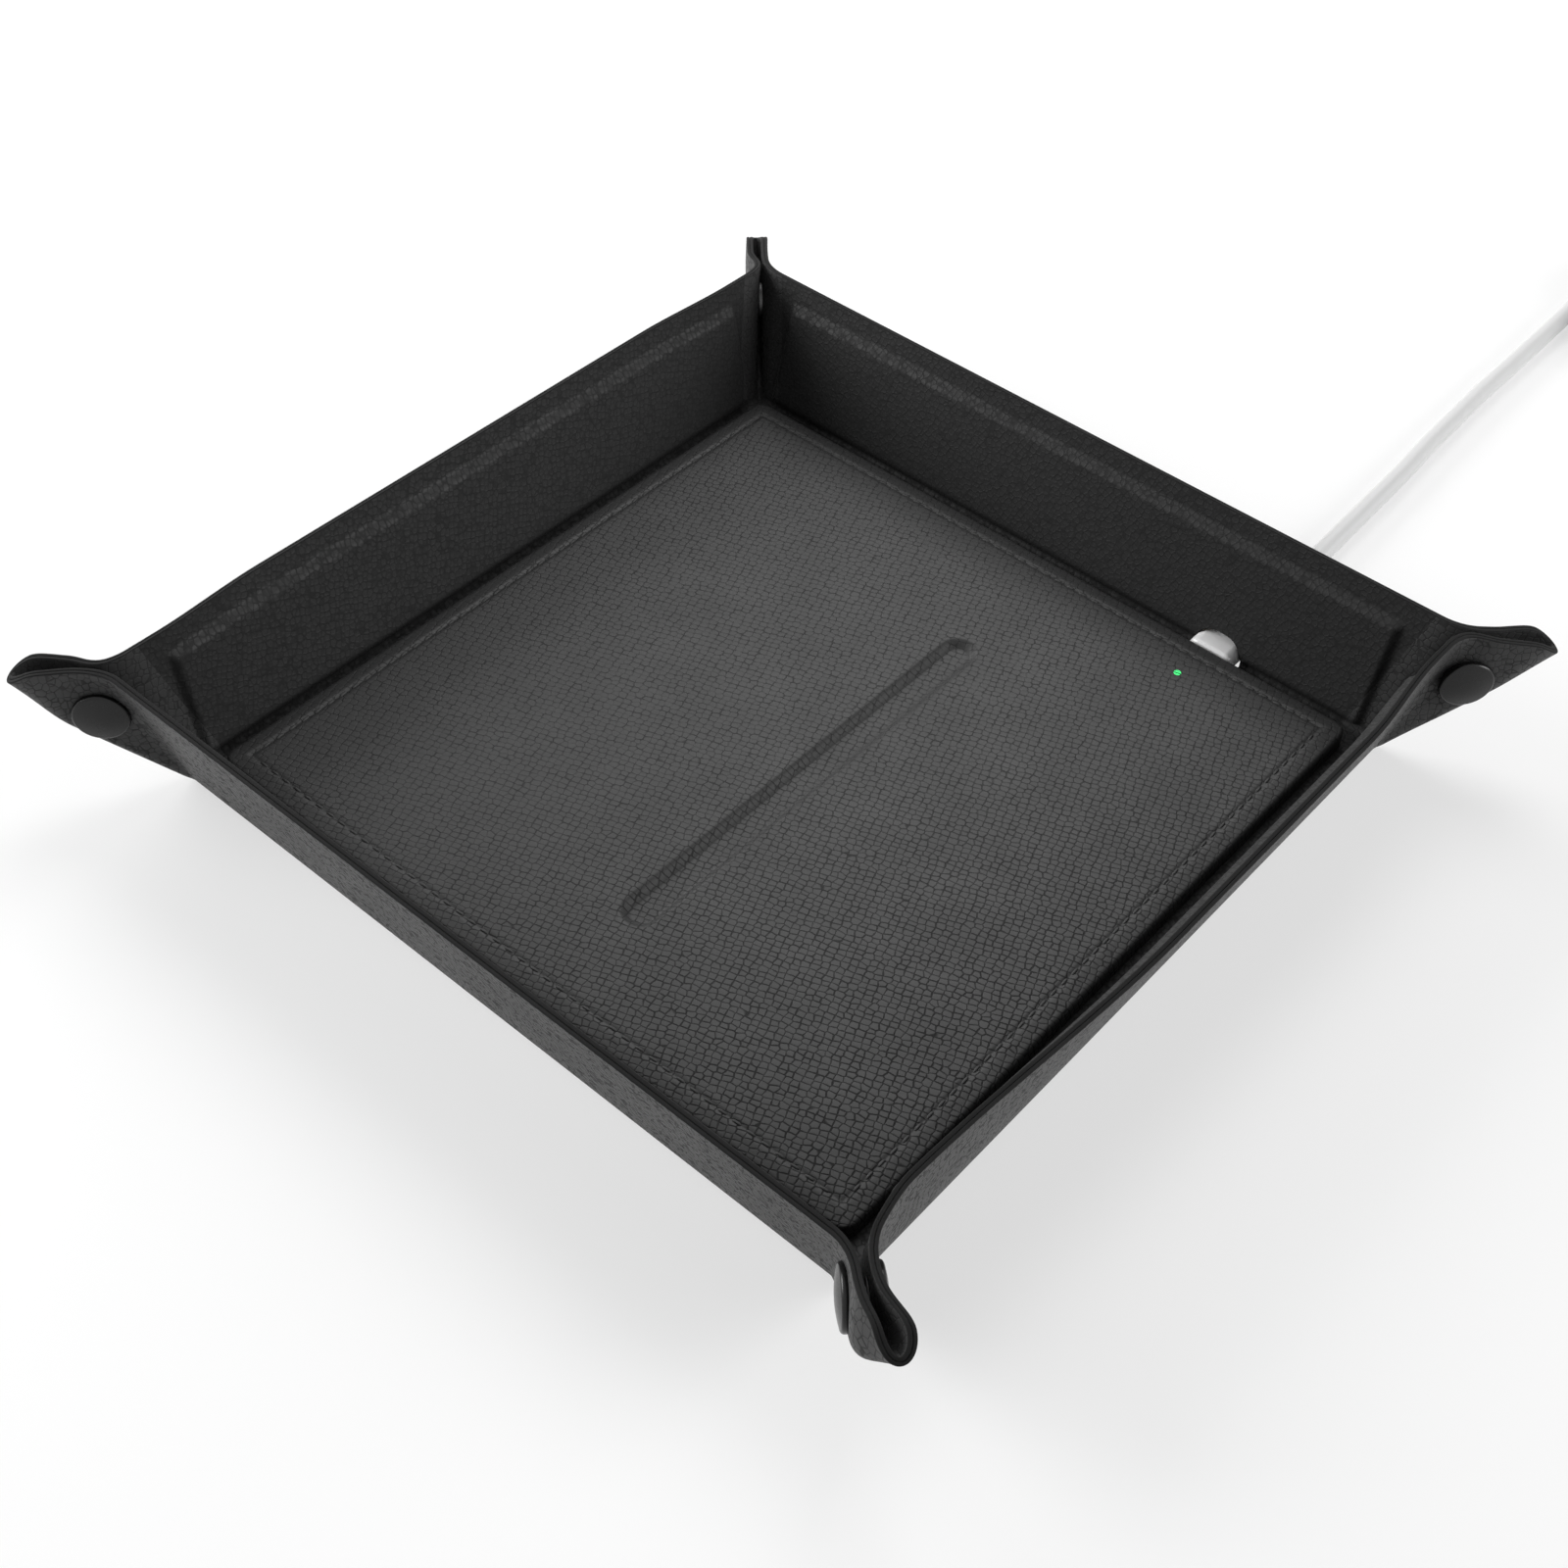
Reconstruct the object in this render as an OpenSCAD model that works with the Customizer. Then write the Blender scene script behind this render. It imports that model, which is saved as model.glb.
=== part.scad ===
// Leather desk tray with snap corners and a built-in wireless charging pad.
// Millimetres, +Z up, origin at the centre of the underside. Front is -Y; the cable leaves at the back, +Y.

/* [Tray sheet] */
// Width of the floor between the folds of the side walls
floor_w = 193; // [170:1:230]
// Depth of the floor between the folds of the front and back walls
floor_d = 193; // [170:1:230]
// Thickness of one leather skin
skin_t = 0.9; // [0.7:0.1:1.1]
// Slit left along every fold so that the panels can turn
fold_gap = 0.3; // [0.2:0.05:0.5]

/* [Walls] */
// Height of a wall, measured up its slope
wall_h = 35.8; // [32:0.1:42]
// Lean of a wall outwards from upright, in degrees
wall_lean = 16.65; // [13:0.05:20]
// Thickness of the stiffening board inside a wall
board_t = 1.4; // [0.8:0.1:1.8]
// Bare leather between the board and the rim
board_rim = 7; // [5:0.5:10]
// Distance from the fold line up to the board
board_foot = 3; // [2.5:0.1:5]
// Distance from the end of a fold line to the board
board_end = 5.5; // [5:0.1:9]

/* [Snap corners] */
// Space between the two pinched halves of a corner
pinch_gap = 2; // [1.6:0.1:2.4]
// Radius of the rounded tip of a corner of the sheet
tip_r = 13; // [9:0.5:15]
// How far the crease edge is set back from the diagonal
crease_setback = 1; // [0.9:0.05:1.4]
// Length along the crease, from the floor corner, that has no turned edge
crease_bare = 12; // [11:0.5:16]
// Distance of a snap from the floor corner, along the crease
snap_along = 25; // [25:0.1:28]
// Distance of a snap from the crease
snap_off = 8.5; // [8:0.1:9]
// Diameter of a snap cap
cap_d = 12.6; // [11:0.1:12.8]
// Height of a snap cap above the leather
cap_h = 1.7; // [1:0.1:2.2]
// Diameter of the rivet post through the leather
post_d = 2.8; // [2:0.1:3.2]
// Outer diameter of the snap socket
socket_ring_d = 9.6; // [8:0.1:11]
// Diameter of the snap stud's head
stud_d = 3.6; // [3:0.1:4.2]
// Diameter of the snap stud's flange
stud_flange_d = 8; // [6.5:0.1:9.5]
// Thickness of the sheet metal in the socket and the stud
snap_sheet = 0.3; // [0.2:0.05:0.4]

/* [Charging pad] */
// Gap between the pad and the fold lines
pad_margin = 5; // [4:0.1:8]
// Height of the pad above the floor lining
pad_h = 4.7; // [4.6:0.1:6]
// Corner radius of the pad
pad_r = 4; // [2:0.5:8]
// Thickness of the pad's moulded base plate
base_plate = 0.8; // [0.6:0.1:0.9]
// Thickness of the lid over the electronics
lid_t = 0.6; // [0.4:0.1:0.6]
// Wall of the electronics bay
bay_wall = 1.2; // [0.8:0.1:2]
// Length of the pen groove
groove_l = 118; // [80:1:130]
// Width of the pen groove
groove_w = 9; // [7:0.5:11]
// Depth of the pen groove
groove_depth = 1.6; // [1:0.1:1.8]
// Place of the groove across the tray
groove_x = 9; // [2:0.5:9.5]
// Place of the groove's middle along the tray
groove_y = -5.5; // [-15:0.5:5]

/* [Electronics] */
// Distance of the charging coil's centre from the pad's right edge
coil_in = 34.5; // [32.5:0.5:35]
// Place of the charging coil along the tray
coil_y = 0; // [-20:1:10]
// Outer diameter of the charging coil
coil_od = 44; // [38:1:48]
// Inner diameter of the charging coil
coil_id = 20; // [14:1:26]
// Thickness of the charging coil
coil_t = 1.2; // [0.8:0.1:1.4]
// Diameter of the ferrite disc
ferrite_d = 50; // [49:0.5:52]
// Thickness of the ferrite disc
ferrite_t = 0.6; // [0.4:0.1:0.8]
// Width of the two flat coil leads
lead_d = 0.8; // [0.5:0.1:0.9]
// Width of the circuit board
pcb_w = 44; // [36:1:48]
// Depth of the circuit board
pcb_d = 28; // [24:1:32]
// Thickness of the circuit board
pcb_t = 0.8; // [0.6:0.1:1]
// Height of the chips on the circuit board
chip_h = 0.8; // [0.5:0.05:0.9]
// Diameter of the indicator light pipe
pipe_d = 1.8; // [1.2:0.1:2.4]
// Distance of the indicator from the pad's back edge
pipe_back = 12.5; // [11.5:0.1:13.5]
// How far left of the socket the indicator sits
pipe_left = 0.9; // [0.6:0.1:1.4]

/* [Cable] */
// Distance of the cable socket from the pad's right edge
socket_in = 39; // [36:0.5:43]
// Width of the socket shell
socket_w = 8.9; // [8.8:0.05:9.4]
// Height of the socket shell
socket_h = 3.2; // [3.1:0.05:3.2]
// Depth of the socket shell
socket_l = 7.4; // [7.2:0.1:7.4]
// Wall of the socket shell
socket_wall = 0.3; // [0.2:0.05:0.3]
// Width of the plug's metal shell
shell_w = 8.1; // [8:0.05:8.15]
// Height of the plug's metal shell
shell_h = 2.4; // [2.3:0.05:2.4]
// Length of the plug's metal shell beyond the housing
shell_l = 6.6; // [6.2:0.1:6.6]
// Wall of the plug's metal shell
shell_wall = 0.3; // [0.2:0.05:0.35]
// Width of the plug housing
plug_w = 12.4; // [11.5:0.1:13]
// Height of the plug housing
plug_h = 5.8; // [5.6:0.1:6]
// Length of the plug housing
plug_l = 20; // [16:0.5:24]
// Length of the strain relief
relief_l = 9; // [6:0.5:12]
// Diameter of the cord
cord_d = 5.2; // [4:0.1:5.4]
// Clearance of the plug in the wall notch
notch_gap = 0.5; // [0.4:0.05:0.8]
// Extra height of the notch's arch over the plug
arch_rise = 0.7; // [0.5:0.1:1]

/* [Hidden] */
$fn = 64;

leather = [0.16, 0.16, 0.17];
lining = [0.22, 0.22, 0.23];
cover_grey = [0.27, 0.27, 0.28];
board_grey = [0.55, 0.52, 0.47];
plastic_black = [0.1, 0.1, 0.11];
foam = [0.35, 0.35, 0.36];
copper = [0.72, 0.45, 0.2];
ferrite_grey = [0.25, 0.24, 0.24];
pcb_green = [0.05, 0.3, 0.15];
steel = [0.75, 0.76, 0.78];
gloss_black = [0.05, 0.05, 0.05];
white = [0.93, 0.93, 0.93];
light_green = [0.2, 0.9, 0.35];

sides = ["front", "right", "back", "left"];
back = 2;
sheet_t = 2 * skin_t;
axis_z = skin_t;
floor_end = skin_t + fold_gap;
slack = 0.01;
touch_gap = 0.15;

// The corner: the mitre line where a wall turns into its pinched half, in the wall's own plane
pinch = skin_t + pinch_gap / 2;
mitre_x = -pinch * sqrt(2);
mitre_turn = atan(sin(wall_lean));
fold_turn = acos(cos(wall_lean) / sqrt(2));
wall_end = (skin_t + fold_gap) / cos(mitre_turn);
ear_foot = 3;

pad_w = floor_w - 2 * pad_margin;
pad_d = floor_d - 2 * pad_margin;
pad_back = pad_d / 2;
coil_x = pad_w / 2 - coil_in;
socket_x = pad_w / 2 - socket_in;
pad_z = sheet_t;
pad_top = pad_z + pad_h;
under_cover = pad_top - skin_t;
plate_top = pad_z + base_plate;
lid_z = under_cover - lid_t;
fit = 0.1;
bay_w = ferrite_d + 8;
bay_front = coil_y - ferrite_d / 2 - 6;
board_back = pad_back - skin_t - fit;
groove_r = (groove_w * groove_w / 4 + groove_depth * groove_depth) / (2 * groove_depth);

plug_z = pad_z + socket_h / 2;
pcb_z = plug_z - pcb_t / 2;
pcb_top = pcb_z + pcb_t;
pipe_x = socket_x - pipe_left;
pipe_y = pad_back - pipe_back;
plug_start = pad_back + 0.3;
relief_start = plug_start + plug_l;
cord_start = relief_start + relief_l;
relief_wall = 0.1;

// Route of the cord from the strain relief to the coil, from the end of the relief at height zero
run_points = [[0, 0], [0, 6], [0, 14], [-0.5, 26], [-1, 40], [-1.5, 54], [-2, 68], [-3, 84], [-3.5, 100],
    [-4, 116], [-4, 132], [-4, 148], [-4, 164], [-4, 180], [-4, 188]];
run_rise = [0, 0, -0.4, -0.6, -0.6, -0.6, -0.6, -0.6, -0.6, -0.6, -0.6, -0.4, 0, 0.3, 0.3];
// Route of the tail from the coil to the far plug
tail_points = [[0, 0], [0, -5], [0, -13], [0, -23], [0, -33], [0, -41], [0, -46]];
tail_drop = [0, 0, -1.4, -3.8, -5.7, -6.5, -6.5];
coil_pitch = cord_d + 0.5;
coil_out = 36;
coil_turns = 2.5;
coil_rings = 24;
coil_tuck = 1.2;
run_end = run_points[len(run_points) - 1];
coil_z = plug_z + run_rise[len(run_rise) - 1];
coil_cx = socket_x + run_end[0] + coil_out;
coil_cy = cord_start + run_end[1] + cord_d;
coil_top_z = coil_z + coil_pitch;
tail_x = coil_cx + coil_out;
tail_y = coil_cy - cord_d;
tail_end = tail_y + tail_points[len(tail_points) - 1][1];
far_z = coil_top_z + tail_drop[len(tail_drop) - 1];
tie_t = 0.8;
tie_w = 10;
tie_gap = 0.3;

function half_span(i) = (i % 2 == 0 ? floor_w : floor_d) / 2;
function half_reach(i) = (i % 2 == 0 ? floor_d : floor_w) / 2;
function cut(v) = v / norm(v);

// Rings of a tube of radius r along points p, each ring square to the path
function tangent(p, k) = cut(p[min(k + 1, len(p) - 1)] - p[max(k - 1, 0)]);
function ring(p, k, r, n) =
    let (t = tangent(p, k), s = cut(cross(t, [0, 0, 1])), u = cross(s, t))
    [for (j = [0:n - 1]) p[k] + r * (cos(360 * j / n) * s + sin(360 * j / n) * u)];
function tube_points(p, r, n) = [for (k = [0:len(p) - 1]) each ring(p, k, r, n)];
function tube_faces(m, n) = concat(
    [for (j = [1:n - 2]) [0, j, j + 1]],
    [for (k = [0:m - 2], j = [0:n - 1])
        each [[k * n + j, (k + 1) * n + j, (k + 1) * n + (j + 1) % n],
            [k * n + j, (k + 1) * n + (j + 1) % n, k * n + (j + 1) % n]]],
    [for (j = [1:n - 2]) [(m - 1) * n, (m - 1) * n + j + 1, (m - 1) * n + j]]);

module tube(p, r, n) {
    polyhedron(points = tube_points(p, r, n), faces = tube_faces(len(p), n), convexity = 6);
}

// The coil winds in on the lower layer, climbs in a tucked half turn and winds out on the upper layer
function climb(q) = q < 0 ? 0 : q > 1 ? 1 : q * q * (3 - 2 * q);
function coil_radius(q) = q < coil_turns ? coil_out - coil_pitch * q
    : q < coil_turns + 0.5 ? coil_out - coil_pitch * coil_turns - coil_tuck * sin(360 * (q - coil_turns))
    : coil_out - coil_pitch * (2 * coil_turns + 0.5 - q);
function coil_point(q) = let (a = 180 - 360 * q, r = coil_radius(q))
    [coil_cx + r * cos(a), coil_cy + r * sin(a), coil_z + coil_pitch * climb(2 * (q - coil_turns))];
coil_total = 2 * coil_turns + 0.5;
coil_winding = [for (k = [0:coil_total * coil_rings]) coil_point(k / coil_rings)];
coil_path = concat([[coil_cx - coil_out, coil_cy - cord_d, coil_z]], coil_winding,
    [[tail_x, tail_y, coil_top_z]]);
// Least gap between one turn and the next, on the points of the winding
coil_gap = min([for (k = [0:len(coil_winding) - 1], j = [k + coil_rings / 2:1:len(coil_winding) - 1])
    norm(coil_winding[k] - coil_winding[j])]) - cord_d;
echo(least_gap_in_coil = coil_gap);
coil_length = cord_d * 2 + 2 * PI * (2 * coil_turns * (coil_out - coil_pitch * coil_turns / 2)
    + 0.5 * (coil_out - coil_pitch * coil_turns));
echo(cord_length = coil_length + run_end[1] - tail_points[len(tail_points) - 1][1]);

module rounded_plate(w, d, h, r) {
    linear_extrude(h) {
        square([w - 2 * r, d], center = true);
        square([w, d - 2 * r], center = true);
        for (x = [-1, 1], y = [-1, 1]) translate([x * (w / 2 - r), y * (d / 2 - r)]) circle(r);
    }
}

module stadium(w, h) {
    square([w - h, h], center = true);
    for (x = [-1, 1]) translate([x * (w - h) / 2, 0]) circle(h / 2);
}

// Lays a profile drawn in x and y along +Y, with its y upwards
module along_y(y, l) {
    translate([0, y + l, 0]) rotate([90, 0, 0]) linear_extrude(l) children();
}

module box(x0, y0, z0, x1, y1, z1) {
    translate([x0, y0, z0]) cube([x1 - x0, y1 - y0, z1 - z0]);
}

// Space that the plug passes through in the back wall and the edge of the floor, height zero at the plug
module plug_way() {
    arch_r = plug_w / 2 + notch_gap;
    stadium(plug_w + 2 * notch_gap, plug_h + 2 * notch_gap);
    translate([0, plug_h / 2 + notch_gap + arch_rise - arch_r]) circle(arch_r);
    translate([-plug_w / 2 - notch_gap, -10]) square([plug_w + 2 * notch_gap, 10]);
}

module floor_sheet(z, t) {
    difference() {
        translate([0, 0, z + t / 2])
            cube([floor_w - 2 * floor_end, floor_d - 2 * floor_end, t], center = true);
        translate([socket_x, 0, plug_z]) along_y(pad_back, floor_d) plug_way();
    }
}

module floor_outer_skin() {
    color(leather) floor_sheet(0, skin_t);
}

module floor_lining() {
    color(lining) floor_sheet(skin_t, skin_t);
}

// Room for the plug shell and the socket, through the pad's back edge
module socket_way(margin) {
    translate([socket_x, 0, plug_z]) along_y(pad_back - socket_l - margin, socket_l + 2 * margin)
        square([socket_w + 2 * margin, socket_h + 2 * margin], center = true);
}

module bay(margin, z0, z1) {
    box(coil_x - bay_w / 2 - margin, bay_front - margin, z0, coil_x + bay_w / 2 + margin, board_back, z1);
}

module pad_base() {
    color(plastic_black) {
        difference() {
            union() {
                translate([0, 0, pad_z]) rounded_plate(pad_w - 2 * skin_t - 2 * fit,
                    pad_d - 2 * skin_t - 2 * fit, base_plate, pad_r - skin_t);
                bay(bay_wall, plate_top - slack, lid_z);
            }
            translate([0, bay_wall, 0]) bay(0, plate_top, lid_z + 1);
            box(coil_x - bay_w / 2, pad_back - skin_t - bay_wall - 1, plate_top, coil_x + bay_w / 2,
                pad_back, lid_z + 1);
            socket_way(fit);
        }
        for (x = [-1, 1], y = [0.15, 0.85])
            translate([coil_x + x * (pcb_w / 2 - 3), board_back - pcb_d * y, (plate_top + pcb_z) / 2])
                cube([4, 4, pcb_z - plate_top], center = true);
    }
}

module pad_core() {
    color(foam) difference() {
        translate([0, 0, plate_top]) rounded_plate(pad_w - 2 * skin_t - 2 * fit,
            pad_d - 2 * skin_t - 2 * fit, under_cover - plate_top, pad_r - skin_t);
        bay(bay_wall + fit, plate_top - 1, under_cover + 1);
        box(coil_x - bay_w / 2 - bay_wall - fit, pad_back - skin_t - 1, plate_top - 1,
            coil_x + bay_w / 2 + bay_wall + fit, pad_back, under_cover + 1);
        groove_form(groove_r + skin_t + fit);
    }
}

module pad_lid() {
    color(plastic_black) difference() {
        bay(bay_wall, lid_z, under_cover);
        translate([pipe_x, pipe_y, lid_z - 1]) cylinder(d = pipe_d + 2 * fit, h = lid_t + 2);
    }
}

// A long round-ended form whose lower part shapes the pen groove
module groove_form(r) {
    translate([groove_x, groove_y, pad_top + groove_r - groove_depth]) {
        rotate([90, 0, 0]) cylinder(r = r, h = groove_l - groove_w, center = true);
        for (y = [-1, 1]) translate([0, y * (groove_l - groove_w) / 2, 0]) sphere(r);
    }
}

module pad_cover() {
    color(cover_grey) difference() {
        union() {
            difference() {
                translate([0, 0, pad_z]) rounded_plate(pad_w, pad_d, pad_h, pad_r);
                translate([0, 0, pad_z - 1]) rounded_plate(pad_w - 2 * skin_t, pad_d - 2 * skin_t,
                    under_cover - pad_z + 1, pad_r - skin_t);
            }
            intersection() {
                groove_form(groove_r + skin_t);
                translate([0, 0, pad_z]) rounded_plate(pad_w, pad_d, pad_h, pad_r);
            }
        }
        groove_form(groove_r);
        socket_way(fit);
        translate([pipe_x, pipe_y, pad_z]) cylinder(d = pipe_d + 2 * fit, h = pad_h + 1);
    }
}

module charging_coil() {
    lead_z = plate_top + ferrite_t + lead_d / 2;
    color(copper) {
        translate([coil_x, coil_y, plate_top + ferrite_t]) difference() {
            cylinder(d = coil_od, h = coil_t);
            translate([0, 0, -1]) cylinder(d = coil_id, h = coil_t + 2);
        }
        for (x = [-1, 1]) box(coil_x + 2 * x - lead_d / 2, coil_y + coil_od / 2 - 1, lead_z - lead_d / 2,
            coil_x + 2 * x + lead_d / 2, board_back - pcb_d, lead_z + lead_d / 2);
    }
}

module ferrite_disc() {
    color(ferrite_grey) translate([coil_x, coil_y, plate_top]) cylinder(d = ferrite_d, h = ferrite_t);
}

module circuit_board() {
    color(pcb_green) difference() {
        box(coil_x - pcb_w / 2, board_back - pcb_d, pcb_z, coil_x + pcb_w / 2, board_back, pcb_top);
        socket_way(fit);
    }
}

module board_components() {
    chips = [[-14, 0.62, 6], [-3, 0.72, 5], [9, 0.7, 7], [17, 0.4, 4], [-16, 0.25, 4]];
    color(plastic_black) {
        for (c = chips) translate([coil_x + c[0], board_back - pcb_d * c[1], pcb_top + chip_h / 2])
            cube([c[2], c[2], chip_h], center = true);
        translate([pipe_x, pipe_y, pcb_top + chip_h / 4]) cube([1.6, 0.8, chip_h / 2], center = true);
    }
}

module usb_socket() {
    color(steel) translate([socket_x, 0, plug_z]) difference() {
        along_y(pad_back - socket_l, socket_l) stadium(socket_w, socket_h);
        along_y(pad_back - socket_l + socket_wall, socket_l)
            stadium(socket_w - 2 * socket_wall, socket_h - 2 * socket_wall);
    }
}

module usb_socket_tongue() {
    inner_h = socket_h - 2 * socket_wall;
    color(plastic_black) translate([socket_x, 0, plug_z]) {
        along_y(pad_back - socket_l + socket_wall, 0.5)
            square([socket_w - 2 * socket_wall - inner_h, inner_h - 2 * fit], center = true);
        along_y(pad_back - socket_l + socket_wall, socket_l - socket_wall - 1)
            square([5.6, 0.7], center = true);
    }
}

module indicator_light_pipe() {
    base_z = pcb_top + chip_h / 2 + fit;
    color(light_green) translate([pipe_x, pipe_y, base_z]) cylinder(d = pipe_d, h = pad_top - base_z);
}

// Stands what is drawn flat, x along the fold and y up the wall, as the wall on side i; z points outwards
module on_wall(i) {
    rotate([0, 0, 90 * i]) translate([0, -half_reach(i), axis_z]) rotate([90 + wall_lean, 0, 0]) children();
}

// Outline of a wall, cut back at both mitre lines
module wall_outline(i) {
    foot = half_span(i) + mitre_x - wall_end;
    top = foot + wall_h * tan(mitre_turn);
    polygon([[-foot, 0], [foot, 0], [top, wall_h], [-top, wall_h]]);
}

// One skin of a wall from height a to b through the sheet, with the round fold edge on that side
module wall_layer(i, a, b) {
    foot = half_span(i) + mitre_x - wall_end;
    translate([0, 0, a]) linear_extrude(b - a) wall_outline(i);
    intersection() {
        translate([-foot, 0, 0]) rotate([0, 90, 0]) cylinder(r = skin_t, h = 2 * foot);
        box(-foot, -2 * skin_t, a, foot, slack, b);
    }
}

// The cable notch, which only the back wall has
module notch(i) {
    if (i == back) rotate([-wall_lean, 0, 0]) translate([-socket_x, plug_z - axis_z, -10])
        linear_extrude(20) plug_way();
}

module wall_skin(i) {
    color(leather) on_wall(i) difference() {
        wall_layer(i, 0, skin_t);
        notch(i);
    }
}

module board_form(i, margin, depth) {
    half = half_span(i) - board_end + margin;
    box(-half, board_foot - margin, -depth, half, wall_h - board_rim + margin, 0);
}

module wall_board(i) {
    color(board_grey) on_wall(i) difference() {
        board_form(i, 0, board_t);
        notch(i);
    }
}

module wall_lining(i) {
    color(lining) on_wall(i) difference() {
        union() {
            wall_layer(i, -skin_t, 0);
            board_form(i, skin_t, board_t + skin_t);
        }
        board_form(i, 0, board_t);
        notch(i);
    }
}

// Folds what is drawn flat past the fold line's end into the pinched corner; e is 1 or -1 for the end
module on_ear(i, e) {
    on_wall(i) mirror([e < 0 ? 1 : 0, 0, 0]) translate([half_span(i) + mitre_x, 0, 0])
        rotate([0, 0, -mitre_turn]) rotate([0, -fold_turn, 0]) rotate([0, 0, mitre_turn])
        translate([-mitre_x, 0, 0]) children();
}

// Flat outline of half a corner: mitre line, rim, rounded tip and crease, from the fold line's end
module ear_outline() {
    foot_x = mitre_x + ear_foot * tan(mitre_turn);
    top_x = mitre_x + wall_h * tan(mitre_turn);
    intersection() {
        polygon([[foot_x, ear_foot], [ear_foot - crease_setback, ear_foot],
            [wall_h - crease_setback, wall_h], [top_x, wall_h]]);
        union() {
            translate([-wall_h, 0]) square([2 * wall_h - tip_r, wall_h]);
            translate([-wall_h, 0]) square([2 * wall_h, wall_h - tip_r]);
            translate([wall_h - tip_r, wall_h - tip_r]) circle(tip_r);
        }
    }
}

module ear(i, e) {
    color(leather) on_ear(i, e) difference() {
        union() {
            translate([0, 0, -skin_t]) linear_extrude(sheet_t) ear_outline();
            intersection() {
                translate([mitre_x, 0, 0]) rotate([0, 0, -mitre_turn]) rotate([-90, 0, 0])
                    cylinder(r = skin_t, h = 2 * wall_h);
                box(-wall_h, ear_foot, -2 * skin_t, wall_h, wall_h, 2 * skin_t);
            }
            intersection() {
                translate([0, 0, touch_gap - pinch]) linear_extrude(pinch) ear_outline();
                translate([-crease_setback, 0, 0]) rotate([0, 0, 45])
                    box(crease_bare, -skin_t, touch_gap - pinch, 3 * wall_h, skin_t, 0);
            }
        }
        on_snap() cylinder(d = post_d + 2 * fit, h = 4 * sheet_t, center = true);
    }
}

// The snap's centre in the flat corner
module on_snap() {
    translate([(snap_along - snap_off) / sqrt(2), (snap_along + snap_off) / sqrt(2), 0]) children();
}

module snap_cap(i, e) {
    color(gloss_black) on_ear(i, e) on_snap() {
        translate([0, 0, skin_t]) cylinder(d = cap_d, h = cap_h);
        translate([0, 0, -skin_t]) cylinder(d = post_d, h = sheet_t + slack);
    }
}

module snap_socket(i, e) {
    color(steel) on_ear(i, e) on_snap() difference() {
        translate([0, 0, touch_gap - pinch]) cylinder(d = socket_ring_d, h = pinch - skin_t - touch_gap);
        translate([0, 0, -pinch]) cylinder(d = stud_d + 0.8, h = pinch - skin_t - snap_sheet);
    }
}

module snap_stud(i, e) {
    reach = pinch_gap - snap_sheet - 0.25;
    color(steel) on_ear(i, e) on_snap() {
        translate([0, 0, -skin_t - snap_sheet]) cylinder(d = stud_flange_d, h = snap_sheet);
        translate([0, 0, -skin_t - reach]) cylinder(d = stud_d, h = reach);
    }
}

// A plug's metal shell: x across, its mouth at y = 0 and its root at y = shell_l
module shell_form() {
    difference() {
        along_y(0, shell_l) stadium(shell_w, shell_h);
        along_y(-1, shell_l + 0.5) stadium(shell_w - 2 * shell_wall, shell_h - 2 * shell_wall);
    }
}

// A tapered collar from the housing, at y = 0, down to the cord
module relief_form() {
    rotate([-90, 0, 0]) cylinder(d1 = plug_h, d2 = cord_d + 2 * relief_wall, h = relief_l, $fn = 12);
}

module plug_shell() {
    color(steel) translate([socket_x, plug_start - shell_l, plug_z]) shell_form();
}

module plug_housing() {
    color(white) translate([socket_x, 0, plug_z]) along_y(plug_start, plug_l) stadium(plug_w, plug_h);
}

module plug_strain_relief() {
    color(white) translate([socket_x, relief_start, plug_z]) relief_form();
}

module cord() {
    start = [socket_x, cord_start, plug_z];
    color(white) tube([for (k = [0:len(run_points) - 1])
        start + [run_points[k][0], run_points[k][1], run_rise[k]]], cord_d / 2, 8);
}

module cord_coil() {
    color(white) tube(coil_path, cord_d / 2, 6);
}

module cord_tie() {
    inner = coil_out - coil_pitch * (coil_turns - 0.25) - cord_d / 2;
    r0 = sqrt(inner * inner - tie_w * tie_w / 4) - 2 * tie_gap;
    r1 = coil_out - coil_pitch * 0.25 + cord_d / 2 + 2 * tie_gap;
    z0 = coil_z - cord_d / 2 - tie_gap;
    z1 = coil_top_z + cord_d / 2 + tie_gap;
    color(plastic_black) difference() {
        box(coil_cx - tie_w / 2, coil_cy + r0 - tie_t, z0 - tie_t,
            coil_cx + tie_w / 2, coil_cy + r1 + tie_t, z1 + tie_t);
        box(coil_cx - tie_w, coil_cy + r0, z0, coil_cx + tie_w, coil_cy + r1, z1);
    }
}

module cord_tail() {
    start = [tail_x, tail_y, coil_top_z];
    color(white) tube([for (k = [0:len(tail_points) - 1])
        start + [tail_points[k][0], tail_points[k][1], tail_drop[k]]], cord_d / 2, 8);
}

module far_strain_relief() {
    color(white) translate([tail_x, tail_end - relief_l, far_z]) relief_form();
}

module far_plug_housing() {
    color(white) translate([tail_x, 0, far_z]) along_y(tail_end - relief_l - plug_l, plug_l)
        stadium(plug_w, plug_h);
}

module far_plug_shell() {
    color(steel) translate([tail_x, tail_end - relief_l - plug_l - shell_l, far_z]) shell_form();
}

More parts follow.
